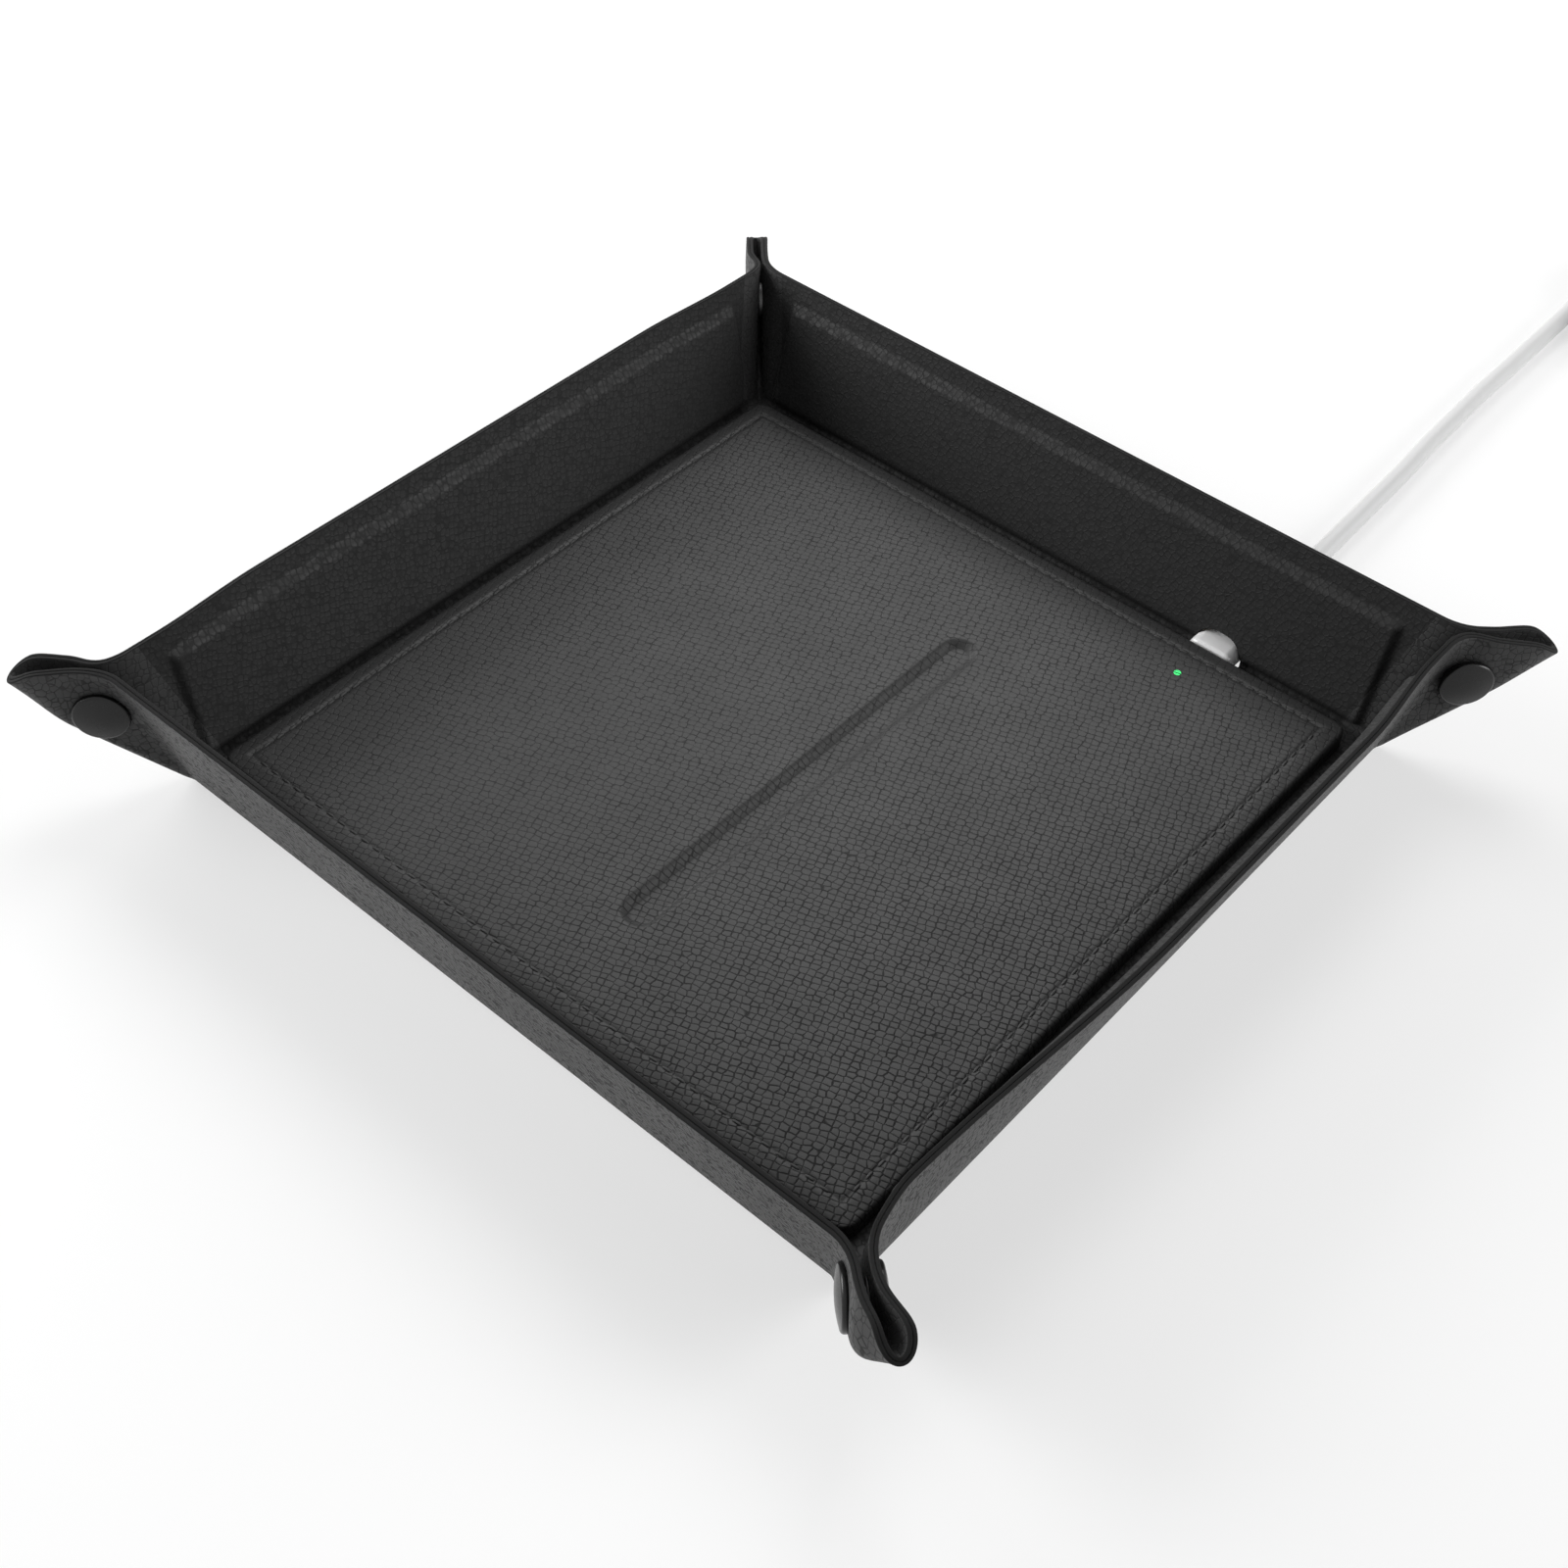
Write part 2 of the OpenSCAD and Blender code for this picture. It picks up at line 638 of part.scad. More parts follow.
floor_outer_skin();
floor_lining();
pad_base();
pad_core();
pad_lid();
pad_cover();
charging_coil();
ferrite_disc();
circuit_board();
board_components();
usb_socket();
usb_socket_tongue();
indicator_light_pipe();
for (i = [0:3]) {
    right = sides[(i + 1) % 4];
    left = sides[(i + 3) % 4];
    wall_skin(i);
    wall_board(i);
    wall_lining(i);
    ear(i, 1);
    ear(i, -1);
    snap_cap(i, 1);
    snap_cap(i, -1);
    snap_socket(i, 1);
    snap_stud(i, -1);
}
plug_shell();
plug_housing();
plug_strain_relief();
cord();
cord_coil();
cord_tie();
cord_tail();
far_strain_relief();
far_plug_housing();
far_plug_shell();
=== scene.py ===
import math

import bmesh
import bpy
import numpy as np
from mathutils import Matrix, Vector


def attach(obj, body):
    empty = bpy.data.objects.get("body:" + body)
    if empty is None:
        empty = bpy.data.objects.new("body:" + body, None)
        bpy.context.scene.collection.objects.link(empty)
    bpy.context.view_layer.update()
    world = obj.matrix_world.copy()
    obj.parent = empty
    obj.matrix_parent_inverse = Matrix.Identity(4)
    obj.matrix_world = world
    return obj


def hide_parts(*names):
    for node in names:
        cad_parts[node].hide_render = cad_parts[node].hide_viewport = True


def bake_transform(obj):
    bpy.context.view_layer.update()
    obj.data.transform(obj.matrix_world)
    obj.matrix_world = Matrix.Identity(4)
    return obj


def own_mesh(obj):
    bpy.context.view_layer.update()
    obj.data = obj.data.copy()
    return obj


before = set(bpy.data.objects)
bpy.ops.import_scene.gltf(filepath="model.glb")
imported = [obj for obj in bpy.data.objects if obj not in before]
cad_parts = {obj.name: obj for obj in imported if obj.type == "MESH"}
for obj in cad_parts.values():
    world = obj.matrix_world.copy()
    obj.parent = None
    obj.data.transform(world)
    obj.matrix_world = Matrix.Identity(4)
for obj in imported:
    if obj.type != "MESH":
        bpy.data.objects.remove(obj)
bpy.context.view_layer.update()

mm = 0.001
sides = ["front", "right", "back", "left"]

# The tray's own sizes, in metres and degrees, as in the frame
tray = {
    "half": 96.5 * mm,           # centre to a wall's fold line
    "slope": 35.8 * mm,          # wall, measured up its lean
    "lean": 16.65,
    "skin": 0.9 * mm,
    "pinch": 1.9 * mm,           # middle of the sheet to the corner's diagonal
    "tip": 13 * mm,
    "boardThick": 1.4 * mm,
    "boardRim": 7 * mm,
    "boardFoot": 3 * mm,
    "boardEnd": 5.5 * mm,
    "foot": 2.0 * mm,            # where the walls' pieces start, up the lean
    "floorIn": 5 * mm,           # how far the folds' pieces reach in over the floor
}
look = {
    "edgeRound": 0.28 * mm,
    "layerGap": 0.03 * mm,
    "turnFoot": 1.0 * mm,        # half length of the bend from wall to corner, at the foot and at the rim
    "turnRim": 4.6 * mm,
    "taper": 3.6 * mm,           # how much longer the crease's closing curve gets at the tip
    "foldTight": 0.86,
}
# Hand-bent differences of the photographed tray. Walls (front, right, back, left), for each of their two ends: how
# far it draws in, over what length, and how far before the corner it lets go. Corners (from front right,
# anticlockwise): how far the tips lean round the tray, how far they bend up off the crease's line, and how far each
# half bows out near its tip
plain, drawn = (0.0, 34 * mm, 0.0), (2.2 * mm, 34 * mm, 0.0)
shape = {
    "bow": [(plain, plain), ((4.0 * mm, 85 * mm, 14 * mm), drawn), (plain, plain), (drawn, drawn)],
    "lean": [4.2 * mm, 0.0, -0.6 * mm, 0.4 * mm],
    "curl": [4.3 * mm, 1.5 * mm, 0.0, 4.4 * mm],
    "leaf": [0.9 * mm, 0.9 * mm, 0.1 * mm, 0.9 * mm],
}
lean = math.radians(tray["lean"])
mitreTurn = math.atan(math.sin(lean))
foldTurn = math.acos(math.cos(lean) / math.sqrt(2))
mitreX = -tray["pinch"] * math.sqrt(2)
axisZ = tray["skin"]


def smooth(t):
    t = np.clip(t, 0, 1)
    return t * t * (3 - 2 * t)


# Camera first: where the photograph was taken from, solved from the tray's own lines
camera = {"place": (213.648, -266.329, 352.132), "azimuth": 39.1, "elevation": 46.532, "roll": 2.748, "lens": 48.88}


def makeCamera():
    a, e, r = (math.radians(camera[k]) for k in ("azimuth", "elevation", "roll"))
    back = Vector((math.sin(a) * math.cos(e), -math.cos(a) * math.cos(e), math.sin(e)))
    right = Vector((math.cos(a), math.sin(a), 0))
    up = back.cross(right)
    turned = right * math.cos(r) + up * math.sin(r), up * math.cos(r) - right * math.sin(r)
    data = bpy.data.cameras.new("camera")
    data.lens, data.sensor_width, data.clip_start, data.clip_end = camera["lens"], 36, 0.01, 20
    made = bpy.data.objects.new("camera", data)
    bpy.context.scene.collection.objects.link(made)
    made.matrix_world = Matrix((turned[0], turned[1], back)).transposed().to_4x4()
    made.location = Vector(camera["place"]) * mm
    bpy.context.scene.camera = made


# Materials: sockets with arithmetic, so that a pattern reads as a formula
class Wire:
    def __init__(self, shop, socket):
        self.shop, self.socket = shop, socket

    def __add__(self, other): return self.shop.maths("ADD", self, other)
    def __radd__(self, other): return self.shop.maths("ADD", other, self)
    def __sub__(self, other): return self.shop.maths("SUBTRACT", self, other)
    def __rsub__(self, other): return self.shop.maths("SUBTRACT", other, self)
    def __mul__(self, other): return self.shop.maths("MULTIPLY", self, other)
    def __rmul__(self, other): return self.shop.maths("MULTIPLY", other, self)
    def __truediv__(self, other): return self.shop.maths("DIVIDE", self, other)
    def __rtruediv__(self, other): return self.shop.maths("DIVIDE", other, self)
    def __pow__(self, other): return self.shop.maths("POWER", self, other)


class Shop:
    def __init__(self, name):
        self.material = bpy.data.materials.new(name)
        self.material.use_nodes = True
        self.tree = self.material.node_tree
        self.tree.nodes.clear()
        self.output = self.tree.nodes.new("ShaderNodeOutputMaterial")
        self.shader = self.tree.nodes.new("ShaderNodeBsdfPrincipled")
        self.tree.links.new(self.shader.outputs[0], self.output.inputs[0])

    def plug(self, socket, value):
        if isinstance(value, Wire):
            self.tree.links.new(value.socket, socket)
        else:
            socket.default_value = value

    def node(self, kind, inputs=(), output=0, **settings):
        made = self.tree.nodes.new(kind)
        for key, value in settings.items():
            setattr(made, key, value)
        for key, value in dict(inputs).items():
            self.plug(made.inputs[key], value)
        return Wire(self, made.outputs[output])

    def maths(self, operation, first, second=0.0):
        return self.node("ShaderNodeMath", {0: first, 1: second}, operation=operation)

    def step(self, value, low, high):
        return self.node("ShaderNodeMapRange", {"Value": value, "From Min": low, "From Max": high},
                         interpolation_type="SMOOTHSTEP")

    def mix(self, share, first, second):
        return self.node("ShaderNodeMix", {0: share, 6: first, 7: second}, 2, data_type="RGBA")

    def noise(self, vector, scale, detail=3.0):
        return self.node("ShaderNodeTexNoise", {"Vector": vector, "Scale": scale, "Detail": detail})

    def stretch(self, vector, scale):
        return self.node("ShaderNodeVectorMath", {0: vector, 1: scale}, operation="MULTIPLY")

    def bump(self, height, depth, normal=None, strength=1.0):
        inputs = {"Height": height, "Distance": depth, "Strength": strength}
        if normal is not None:
            inputs["Normal"] = normal
        return self.node("ShaderNodeBump", inputs)

    def finish(self, **values):
        for key, value in values.items():
            self.plug(self.shader.inputs[key.replace("_", " ")], value)
        return self.material


def grey(value, warm=0.0):
    return (value * (1 + warm), value, value * (1 - warm), 1)


# What a leather finish is made of: its tone, the cells' length and width, the turn of their rows in degrees, how far
# they stray from a grid, the cracks' width, depth and darkness, the tone of the pits, and the roughness
leathers = {
    # The outer skin's tone is set well above the lining's and the pad's: painted light that brightens the outer walls
    "leather": {"tone": 0.042, "cell": (1.75 * mm, 1.55 * mm), "turn": 12, "stray": 0.6, "crack": 0.1,
                "depth": 0.00012, "dark": 0.6, "pits": 0.3, "rough": 0.5, "fade": (0, 0, 0.8, 0.8)},
    "lining": {"tone": 0.022, "cell": (1.55 * mm, 1.35 * mm), "turn": 20, "stray": 0.6, "crack": 0.22,
               "depth": 0.0001, "dark": 0.6, "pits": 0.0, "rough": 0.52, "fade": (0, 0, 0.45, 0.45)},
    # The pad cover's fade below is partly grain, partly a painted shade on the pad's front right
    "cover": {"tone": 0.030, "cell": (1.85 * mm, 1.5 * mm), "turn": -19, "stray": 0.38, "crack": 0.13,
              "depth": 0.00012, "dark": 1.0, "pits": 0.0, "rough": 0.44, "fade": (-0.02, 0.11, 0.22, 1.0)},
}


# Pebbled leather: rows of cells with dark cracks between them, small pits and long soft mottling. The cracks get
# stronger and darker from the back left to the front right, between two distances, as on the photographed pad: partly
# the grain, partly a painted shade that darkens the pad towards its front right corner
def leatherMaterial(name):
    kind = leathers[name]
    shop = Shop(name)
    flat = shop.node("ShaderNodeUVMap", uv_map="flat")
    edge = shop.node("ShaderNodeAttribute", output=2, attribute_name="edge")
    turned = shop.node("ShaderNodeVectorRotate", {"Vector": flat, "Angle": math.radians(kind["turn"])})
    long_, short = kind["cell"]
    wobble = shop.node("ShaderNodeTexNoise", {"Vector": turned, "Scale": 0.35 / short, "Detail": 2.0}, 1)
    centred = shop.node("ShaderNodeVectorMath", {0: wobble, 1: (0.5, 0.5, 0.5)}, operation="SUBTRACT")
    bent = shop.node("ShaderNodeVectorMath", {0: turned, 1: shop.stretch(centred, (short * 0.5, short * 0.5, 0))},
                     operation="ADD")
    scaled = shop.stretch(bent, (1 / long_, 1 / short, 1.0))
    cells = {"Vector": scaled, "Scale": 1.0, "Randomness": kind["stray"]}
    walls = shop.node("ShaderNodeTexVoronoi", cells, feature="DISTANCE_TO_EDGE")
    scale = shop.node("ShaderNodeTexVoronoi", cells, 1, feature="F1")
    knot = shop.step(shop.node("ShaderNodeTexVoronoi", cells, feature="F1"), 0.48, 0.68)
    pits = shop.node("ShaderNodeTexVoronoi", {"Vector": bent, "Scale": 2.2 / short}, feature="F1")
    patch = shop.step(shop.noise(scaled, 0.6, 2.0), 0.38, 0.62)
    crack = 1 - shop.step(walls, kind["crack"] * (0.15 + 0.25 * patch), kind["crack"] * (0.75 + 0.35 * patch))
    branch = (1 - shop.step(pits, 0.06, 0.22)) * shop.step(shop.noise(scaled, 1.1, 1.0), 0.5, 0.6) * kind["pits"]
    split = shop.node("ShaderNodeSeparateXYZ", {0: flat})
    across = shop.node("ShaderNodeSeparateXYZ", {0: flat}, 1)
    # Crack strength: where it rises across the pad, it is a painted shade towards the front right over the grain's own
    # cracks
    start, end, low, high = kind["fade"]
    strong = high
    if high > low:
        strong = low + (high - low) * shop.step((split - across) * 0.7071, start, end)
    plain = 1 - edge
    shown = crack * ((0.75 + 0.25 * patch) * strong + (1 - strong) * 0.5 * knot) * plain
    mottle = shop.noise(flat, 55.0, 4.0)
    fine = shop.noise(flat, 3800.0, 2.0)
    tone = kind["tone"]
    base = shop.mix(mottle, grey(tone * 0.84), grey(tone * 1.16))
    varied = shop.mix(shop.noise(scale, 3.0, 0.0) * 0.5, base, grey(tone * 1.25))
    pitted = shop.mix(branch * plain, varied, grey(tone * 0.25))
    cracked = shop.mix(shown * kind["dark"], pitted, grey(tone * 0.1))
    band = shop.mix(shop.noise(flat, 900.0, 2.0), grey(0.004), grey(0.009))
    painted = shop.mix(edge, cracked, band)
    dome = shop.step(walls, 0.0, 0.4) * 0.12 * strong
    height = (1 - shown) * 0.7 + dome + fine * 0.05 - branch * 0.35
    normal = shop.bump(height * plain, kind["depth"])
    rough = kind["rough"] + 0.3 * shown - 0.12 * (mottle - 0.5) + 0.35 * edge
    return shop.finish(Base_Color=painted, Roughness=rough, Normal=normal, Specular_IOR_Level=0.2)


def plasticMaterial(name, tone, rough, coat=0.0, grain=9000.0, depth=0.00001):
    shop = Shop(name)
    place = shop.node("ShaderNodeTexCoord", output=3)
    fine = shop.noise(place, grain, 2.0)
    soft = shop.noise(place, 60.0)
    colour = shop.mix(soft * 0.5, tuple(c * 0.96 for c in tone[:3]) + (1,), tone)
    return shop.finish(Base_Color=colour, Roughness=rough + 0.06 * soft, Normal=shop.bump(fine, depth),
                       Coat_Weight=coat, Coat_Roughness=0.08)


# Painted snap caps: glossy black, with faint specks and slightly rubbed patches
def capMaterial():
    shop = Shop("cap")
    place = shop.node("ShaderNodeTexCoord", output=3)
    rubbed = shop.noise(place, 250.0, 3.0)
    specks = shop.step(shop.noise(place, 2600.0, 2.0), 0.62, 0.75)
    colour = shop.mix(specks * 0.5, shop.mix(rubbed, grey(0.004), grey(0.007)), grey(0.02))
    return shop.finish(Base_Color=colour, Roughness=0.2 + 0.12 * rubbed, Specular_IOR_Level=0.3,
                       Normal=shop.bump(shop.noise(place, 900.0, 2.0), 0.00001))


def metalMaterial(name, tone, rough):
    shop = Shop(name)
    place = shop.node("ShaderNodeTexCoord", output=3)
    lines = shop.noise(shop.stretch(place, (1.0, 1.0, 12.0)), 900.0, 2.0)
    colour = shop.mix(lines * 0.4, tone, tuple(c * 0.8 for c in tone[:3]) + (1,))
    return shop.finish(Base_Color=colour, Metallic=1.0, Roughness=rough + 0.12 * lines,
                       Normal=shop.bump(lines, 0.00001))


def lightMaterial(name, tone, strength):
    shop = Shop(name)
    place = shop.node("ShaderNodeTexCoord", output=3)
    glow = shop.noise(place, 400.0, 1.0)
    colour = shop.mix(glow * 0.15, tone, (0.3, 1.0, 0.45, 1))
    return shop.finish(Base_Color=colour, Emission_Color=colour, Emission_Strength=strength, Roughness=0.3)


paint = {}


def makeMaterials():
    for name in leathers:
        paint[name] = leatherMaterial(name)
    paint["thread"] = plasticMaterial("thread", grey(0.006), 0.6, 0.0, 5000.0, 0.00005)
    paint["cap"] = capMaterial()
    paint["blackPlastic"] = plasticMaterial("blackPlastic", grey(0.02), 0.5)
    paint["white"] = plasticMaterial("white", grey(0.9), 0.3, 0.25)
    # The cord's jacket is grey, darker than the plugs' white: painted shade for the cord's shaded sides against the
    # white floor
    paint["jacket"] = plasticMaterial("jacket", grey(0.6), 0.4, 0.05)
    paint["steel"] = metalMaterial("steel", grey(0.62), 0.25)
    # The snap parts inside the ears get a dark metal, far darker than the steel: painted shade for the slits they sit
    # in
    paint["snapMetal"] = metalMaterial("snap_metal", grey(0.09), 0.42)
    paint["copper"] = metalMaterial("copper", (0.75, 0.36, 0.2, 1), 0.35)
    paint["ferrite"] = plasticMaterial("ferrite", grey(0.05), 0.7)
    paint["boardCard"] = plasticMaterial("boardCard", (0.45, 0.4, 0.33, 1), 0.85)
    paint["circuit"] = plasticMaterial("circuit", (0.02, 0.18, 0.07, 1), 0.35)
    paint["lamp"] = lightMaterial("lamp", (0.08, 0.9, 0.25, 1), 1.4)


def addObject(name, mesh, material):
    made = bpy.data.objects.new(name, mesh)
    bpy.context.scene.collection.objects.link(made)
    mesh.materials.append(material)
    return made


# A grid of points, rows by columns by 3, as a mesh with flat coordinates, edge paint and exact normals
def gridMesh(name, points, flat, edge, flip, keep=None, normals=None):
    rows, cols = points.shape[:2]
    index = np.arange(rows * cols).reshape(rows, cols)
    quads = np.stack([index[:-1, :-1], index[:-1, 1:], index[1:, 1:], index[1:, :-1]], -1)
    if keep is not None:
        quads = quads[keep]
    quads = quads.reshape(-1, 4)
    if flip:
        quads = quads[:, ::-1]
    return points.reshape(-1, 3), quads, flat.reshape(-1, 2), np.broadcast_to(edge, (rows, cols)).reshape(-1), \
        None if normals is None else normals.reshape(-1, 3) * (-1 if flip else 1)


def buildMesh(name, parts):
    start, points, quads, flats, edges, normals = 0, [], [], [], [], []
    for p, q, f, e, n in parts:
        points.append(p), quads.append(q + start), flats.append(f), edges.append(e), normals.append(n)
        start += len(p)
    points, quads = np.concatenate(points), np.concatenate(quads)
    mesh = bpy.data.meshes.new(name)
    mesh.vertices.add(len(points))
    mesh.vertices.foreach_set("co", points.astype(np.float32).ravel())
    mesh.loops.add(quads.size)
    mesh.loops.foreach_set("vertex_index", quads.astype(np.int32).ravel())
    mesh.polygons.add(len(quads))
    mesh.polygons.foreach_set("loop_start", np.arange(0, quads.size, 4, dtype=np.int32))
    mesh.update(calc_edges=True)
    layer = mesh.uv_layers.new(name="flat")
    layer.data.foreach_set("uv", np.concatenate(flats)[quads.ravel()].astype(np.float32).ravel())
    mesh.attributes.new("edge", "FLOAT", "POINT").data.foreach_set("value", np.concatenate(edges).astype(np.float32))
    mesh.polygons.foreach_set("use_smooth", np.ones(len(quads), bool))
    mesh.validate()
    if all(n is not None for n in normals) and len(mesh.polygons) == len(quads):
        mesh.normals_split_custom_set_from_vertices(np.concatenate(normals).astype(np.float32))
    else:
        closeSeams(mesh)
    return mesh


# Joins the points that lie on each other, so that seams and poles are closed
def closeSeams(mesh):
    shell = bmesh.new()
    shell.from_mesh(mesh)
    bmesh.ops.remove_doubles(shell, verts=shell.verts, dist=0.001 * mm)
    shell.to_mesh(mesh)
    shell.free()


# Normals of a grid from its own neighbours: the cross product of the steps along its rows and columns
def gridNormals(points):
    across = np.gradient(points, axis=1)
    along = np.gradient(points, axis=0)
    normals = np.cross(across, along)
    return normals / np.maximum(np.linalg.norm(normals, axis=-1, keepdims=True), 1e-12)


# Length of a quarter of an ellipse, after Ramanujan
def quarterArc(a, b):
    return math.pi / 4 * (3 * (a + b) - np.sqrt((3 * a + b) * (a + 3 * b)))


# Where a point of the flat sheet ends up. x is measured from the floor corner along the fold, positive past the
# corner; y up the wall; h off the middle of the sheet, positive outwards. The board lifts the lining inwards. Past
# the mitre line the sheet turns on an arc into the pinched half, bows out near the tip and rolls in at the crease.
def sheetPoint(x, y, h, inner, side, end):
    half = tray["half"]
    if inner:
        board = smooth((y - tray["boardFoot"] + 0.95 * mm) / (1.25 * mm))
        board = board * smooth((tray["slope"] - tray["boardRim"] + 1.9 * mm - y) / (2.4 * mm))
        board = board * smooth((-tray["boardEnd"] + 1.5 * mm - x) / (2.2 * mm))
        h = h - tray["boardThick"] * board
    c, s = math.cos(mitreTurn), math.sin(mitreTurn)
    beyond, up = (x - mitreX) * c - y * s, np.clip(y / tray["slope"], 0, 1)
    bow, far, early = np.moveaxis(np.array(shape["bow"][side])[((np.asarray(end) + 1) // 2).astype(int)], -1, 0)
    h = h - bow * smooth((x + far) / (far - 4 * mm)) * (1 - smooth((beyond + early) / (9 * mm + early))) * up ** 1.5
    pinch = tray["pinch"]
    away, along = (y - x) / math.sqrt(2), (y + x) / math.sqrt(2)
    toTip = smooth((along - 27 * mm) / (13 * mm))
    corner = ((side + (np.asarray(end) - 1) // 2) % 4).astype(int)
    bent = {key: np.array(shape[key])[corner] for key in ("lean", "curl", "leaf")}
    wide, long_ = pinch + bent["leaf"] * toTip, pinch + look["taper"] * toTip
    arc = quarterArc(long_, wide)
    turn = np.clip(away / arc, 0, 1) * math.pi / 2
    speed = np.hypot(long_ * np.sin(turn), wide * np.cos(turn))
    ease = 1 - smooth((away - arc) / (9 * mm))
    past = smooth((x - mitreX + 1.5 * mm) / (3 * mm))
    newAway = np.where(away < arc, arc - long_ * np.cos(turn) - h * wide * np.cos(turn) / speed, away)
    newH = np.where(away < arc, wide * np.sin(turn) + h * long_ * np.sin(turn) / speed,
                    pinch + (wide - pinch) * ease * past + h) - pinch
    newH = newH - end * bent["lean"] * smooth((along - 33 * mm) / (13 * mm)) ** 1.5 * past
    newAway = newAway + bent["curl"] * smooth((along - 28 * mm) / (21 * mm)) * past
    x, y = (along - newAway) / math.sqrt(2), (along + newAway) / math.sqrt(2)
    q, r = (x - mitreX) * c - y * s, (x - mitreX) * s + y * c
    reach = look["turnFoot"] + (look["turnRim"] - look["turnFoot"]) * np.clip(r / tray["slope"], 0, 1.1)
    bend = reach / math.tan(foldTurn / 2)
    angle = foldTurn * np.clip((q + reach) / (2 * reach), 0, 1)
    bentQ = np.where(q < -reach, q, np.where(q > reach, q * math.cos(foldTurn) - newH * math.sin(foldTurn),
                                            -reach + (bend - newH) * np.sin(angle)))
    bentH = np.where(q < -reach, newH, np.where(q > reach, q * math.sin(foldTurn) + newH * math.cos(foldTurn),
                                                bend - (bend - newH) * np.cos(angle)))
    return np.stack([half + mitreX + bentQ * c + r * s, -bentQ * s + r * c, bentH], -1)


# Stands a wall's own plane on its side: x along the fold, y up the lean, z outwards; end is 1 or -1
def stand(local, side, end):
    x, y, z = end * local[..., 0], local[..., 1], local[..., 2]
    out = np.stack([x, -tray["half"] - y * math.sin(lean) - z * math.cos(lean),
                    axisZ + y * math.cos(lean) - z * math.sin(lean)], -1)
    for _ in range(side):
        out = np.stack([-out[..., 1], out[..., 0], out[..., 2]], -1)
    return out


# The same point in the unfolded sheet, so that the grain runs on from piece to piece
def flatPlace(x, y, side, end):
    place = np.stack([end * (tray["half"] + x), -tray["half"] - y], -1)
    for _ in range(side):
        place = np.stack([-place[..., 1], place[..., 0]], -1)
    return place


skins = {"outer": 0.5 * tray["skin"], "inner": -0.5 * tray["skin"]}
skinHalf = 0.5 * tray["skin"] - look["layerGap"]


# Rows of a skin that goes up one face, round its cut edge and down the other: share of the way up, distance from
# the edge in edge roundings, height off the skin's middle, and edge paint
def skinRows(count, fine):
    r = look["edgeRound"]
    ups = 1 - (1 - np.linspace(-1 / count, 1, count + 2)) ** fine
    face = [(s, 1.0, skinHalf, 0.0) for s in ups]
    turns = np.radians([20, 45, 70, 90])
    edge = [(1.0, 1 - math.sin(t), skinHalf - r * (1 - math.cos(t)), 1.0) for t in turns]
    rows = face + edge
    rows = rows + [(s, d, -h, e) for s, d, h, e in rows[::-1]]
    return np.array(rows)


# Lays columns that run from the foot to the rim, given as flat points, and wraps each skin round the rim
def skinGrid(foot, rim, side, end, skin, count=40, fine=1.3):
    rows = skinRows(count, fine)
    run = rim - foot
    length = np.linalg.norm(run, axis=-1)
    r = look["edgeRound"]
    back = r * rows[:, 1, None] + (length - r) * (1 - rows[:, 0, None])
    place = rim - run / length[:, None] * back[..., None]
    h = skins[skin] + rows[:, 2, None] + 0 * back
    x, y = place[..., 0], place[..., 1]
    points = stand(sheetPoint(x, y, h, skin == "inner", side, end), side, end)
    normals = gridNormals(points)
    keep = slice(1, -1)
    flat = flatPlace(x, y, side, end)
    return points[keep, keep], flat[keep, keep], rows[keep, 3, None], normals[keep, keep]


def borderX(y):
    return mitreX + y * math.tan(mitreTurn) - 6.0 * mm / math.cos(mitreTurn)


# The rim of the unfolded corner in crease coordinates: a round tip, then the straight rim
def rimAlong(away):
    top, tip = tray["slope"], tray["tip"]
    round_ = math.sqrt(2) * (top - tip) + np.sqrt(np.maximum(tip ** 2 - away ** 2, 0))
    return np.where(away < tip / math.sqrt(2), round_, math.sqrt(2) * top - away)


def fromCrease(along, away):
    return np.stack([(along - away) / math.sqrt(2), (along + away) / math.sqrt(2)], -1)


roll = tray["pinch"] * math.pi / 2 + 0.4 * mm


# Flat ends of the columns of half a corner, between two distances from the crease on the foot and on the rim
def cornerColumns(footAway, rimAway):
    foot = fromCrease(math.sqrt(2) * tray["foot"] - footAway, footAway)
    return foot, fromCrease(rimAlong(rimAway), rimAway)


def addEar(side, end):
    name = sides[side] + "_" + sides[(side + end) % 4]
    footEnd = (tray["foot"] - borderX(tray["foot"])) / math.sqrt(2)
    rimEnd = (tray["slope"] - borderX(tray["slope"])) / math.sqrt(2)
    share = np.linspace(-1 / 34, 1 + 1 / 34, 37)
    foot, rim = cornerColumns(roll + (footEnd - roll) * share, roll + (rimEnd - roll) * share)
    parts = [gridMesh(name, *skinGrid(foot, rim, side, end, skin)[:3], flip=end > 0,
                      normals=skinGrid(foot, rim, side, end, skin)[3]) for skin in skins]
    half = addObject(name + "_half_corner", buildMesh(name, parts), paint["leather"])
    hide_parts(name + "_ear")
    c, s = math.cos(mitreTurn), math.sin(mitreTurn)
    mid, reach = np.array([mitreX + 18 * mm * s, 18 * mm * c]), look["turnRim"]
    ends = [stand(np.array([tray["half"] + mid[0] + k * reach * c, mid[1] - k * reach * s, 0.0]), side, end)
            for k in (-1, 1)]
    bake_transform(half)
    share = np.linspace(-0.125, 1.125, 11) * roll
    foot, rim = cornerColumns(share, share)
    parts = [gridMesh(name, *skinGrid(foot, rim, side, end, skin)[:3], flip=end > 0,
                      normals=skinGrid(foot, rim, side, end, skin)[3]) for skin in skins]
    crease = addObject(name + "_crease", buildMesh(name, parts), paint["leather"])
    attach(crease, name + "_ear")
    origin, normal = earFrame(side, end)[:2]
    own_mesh(crease)


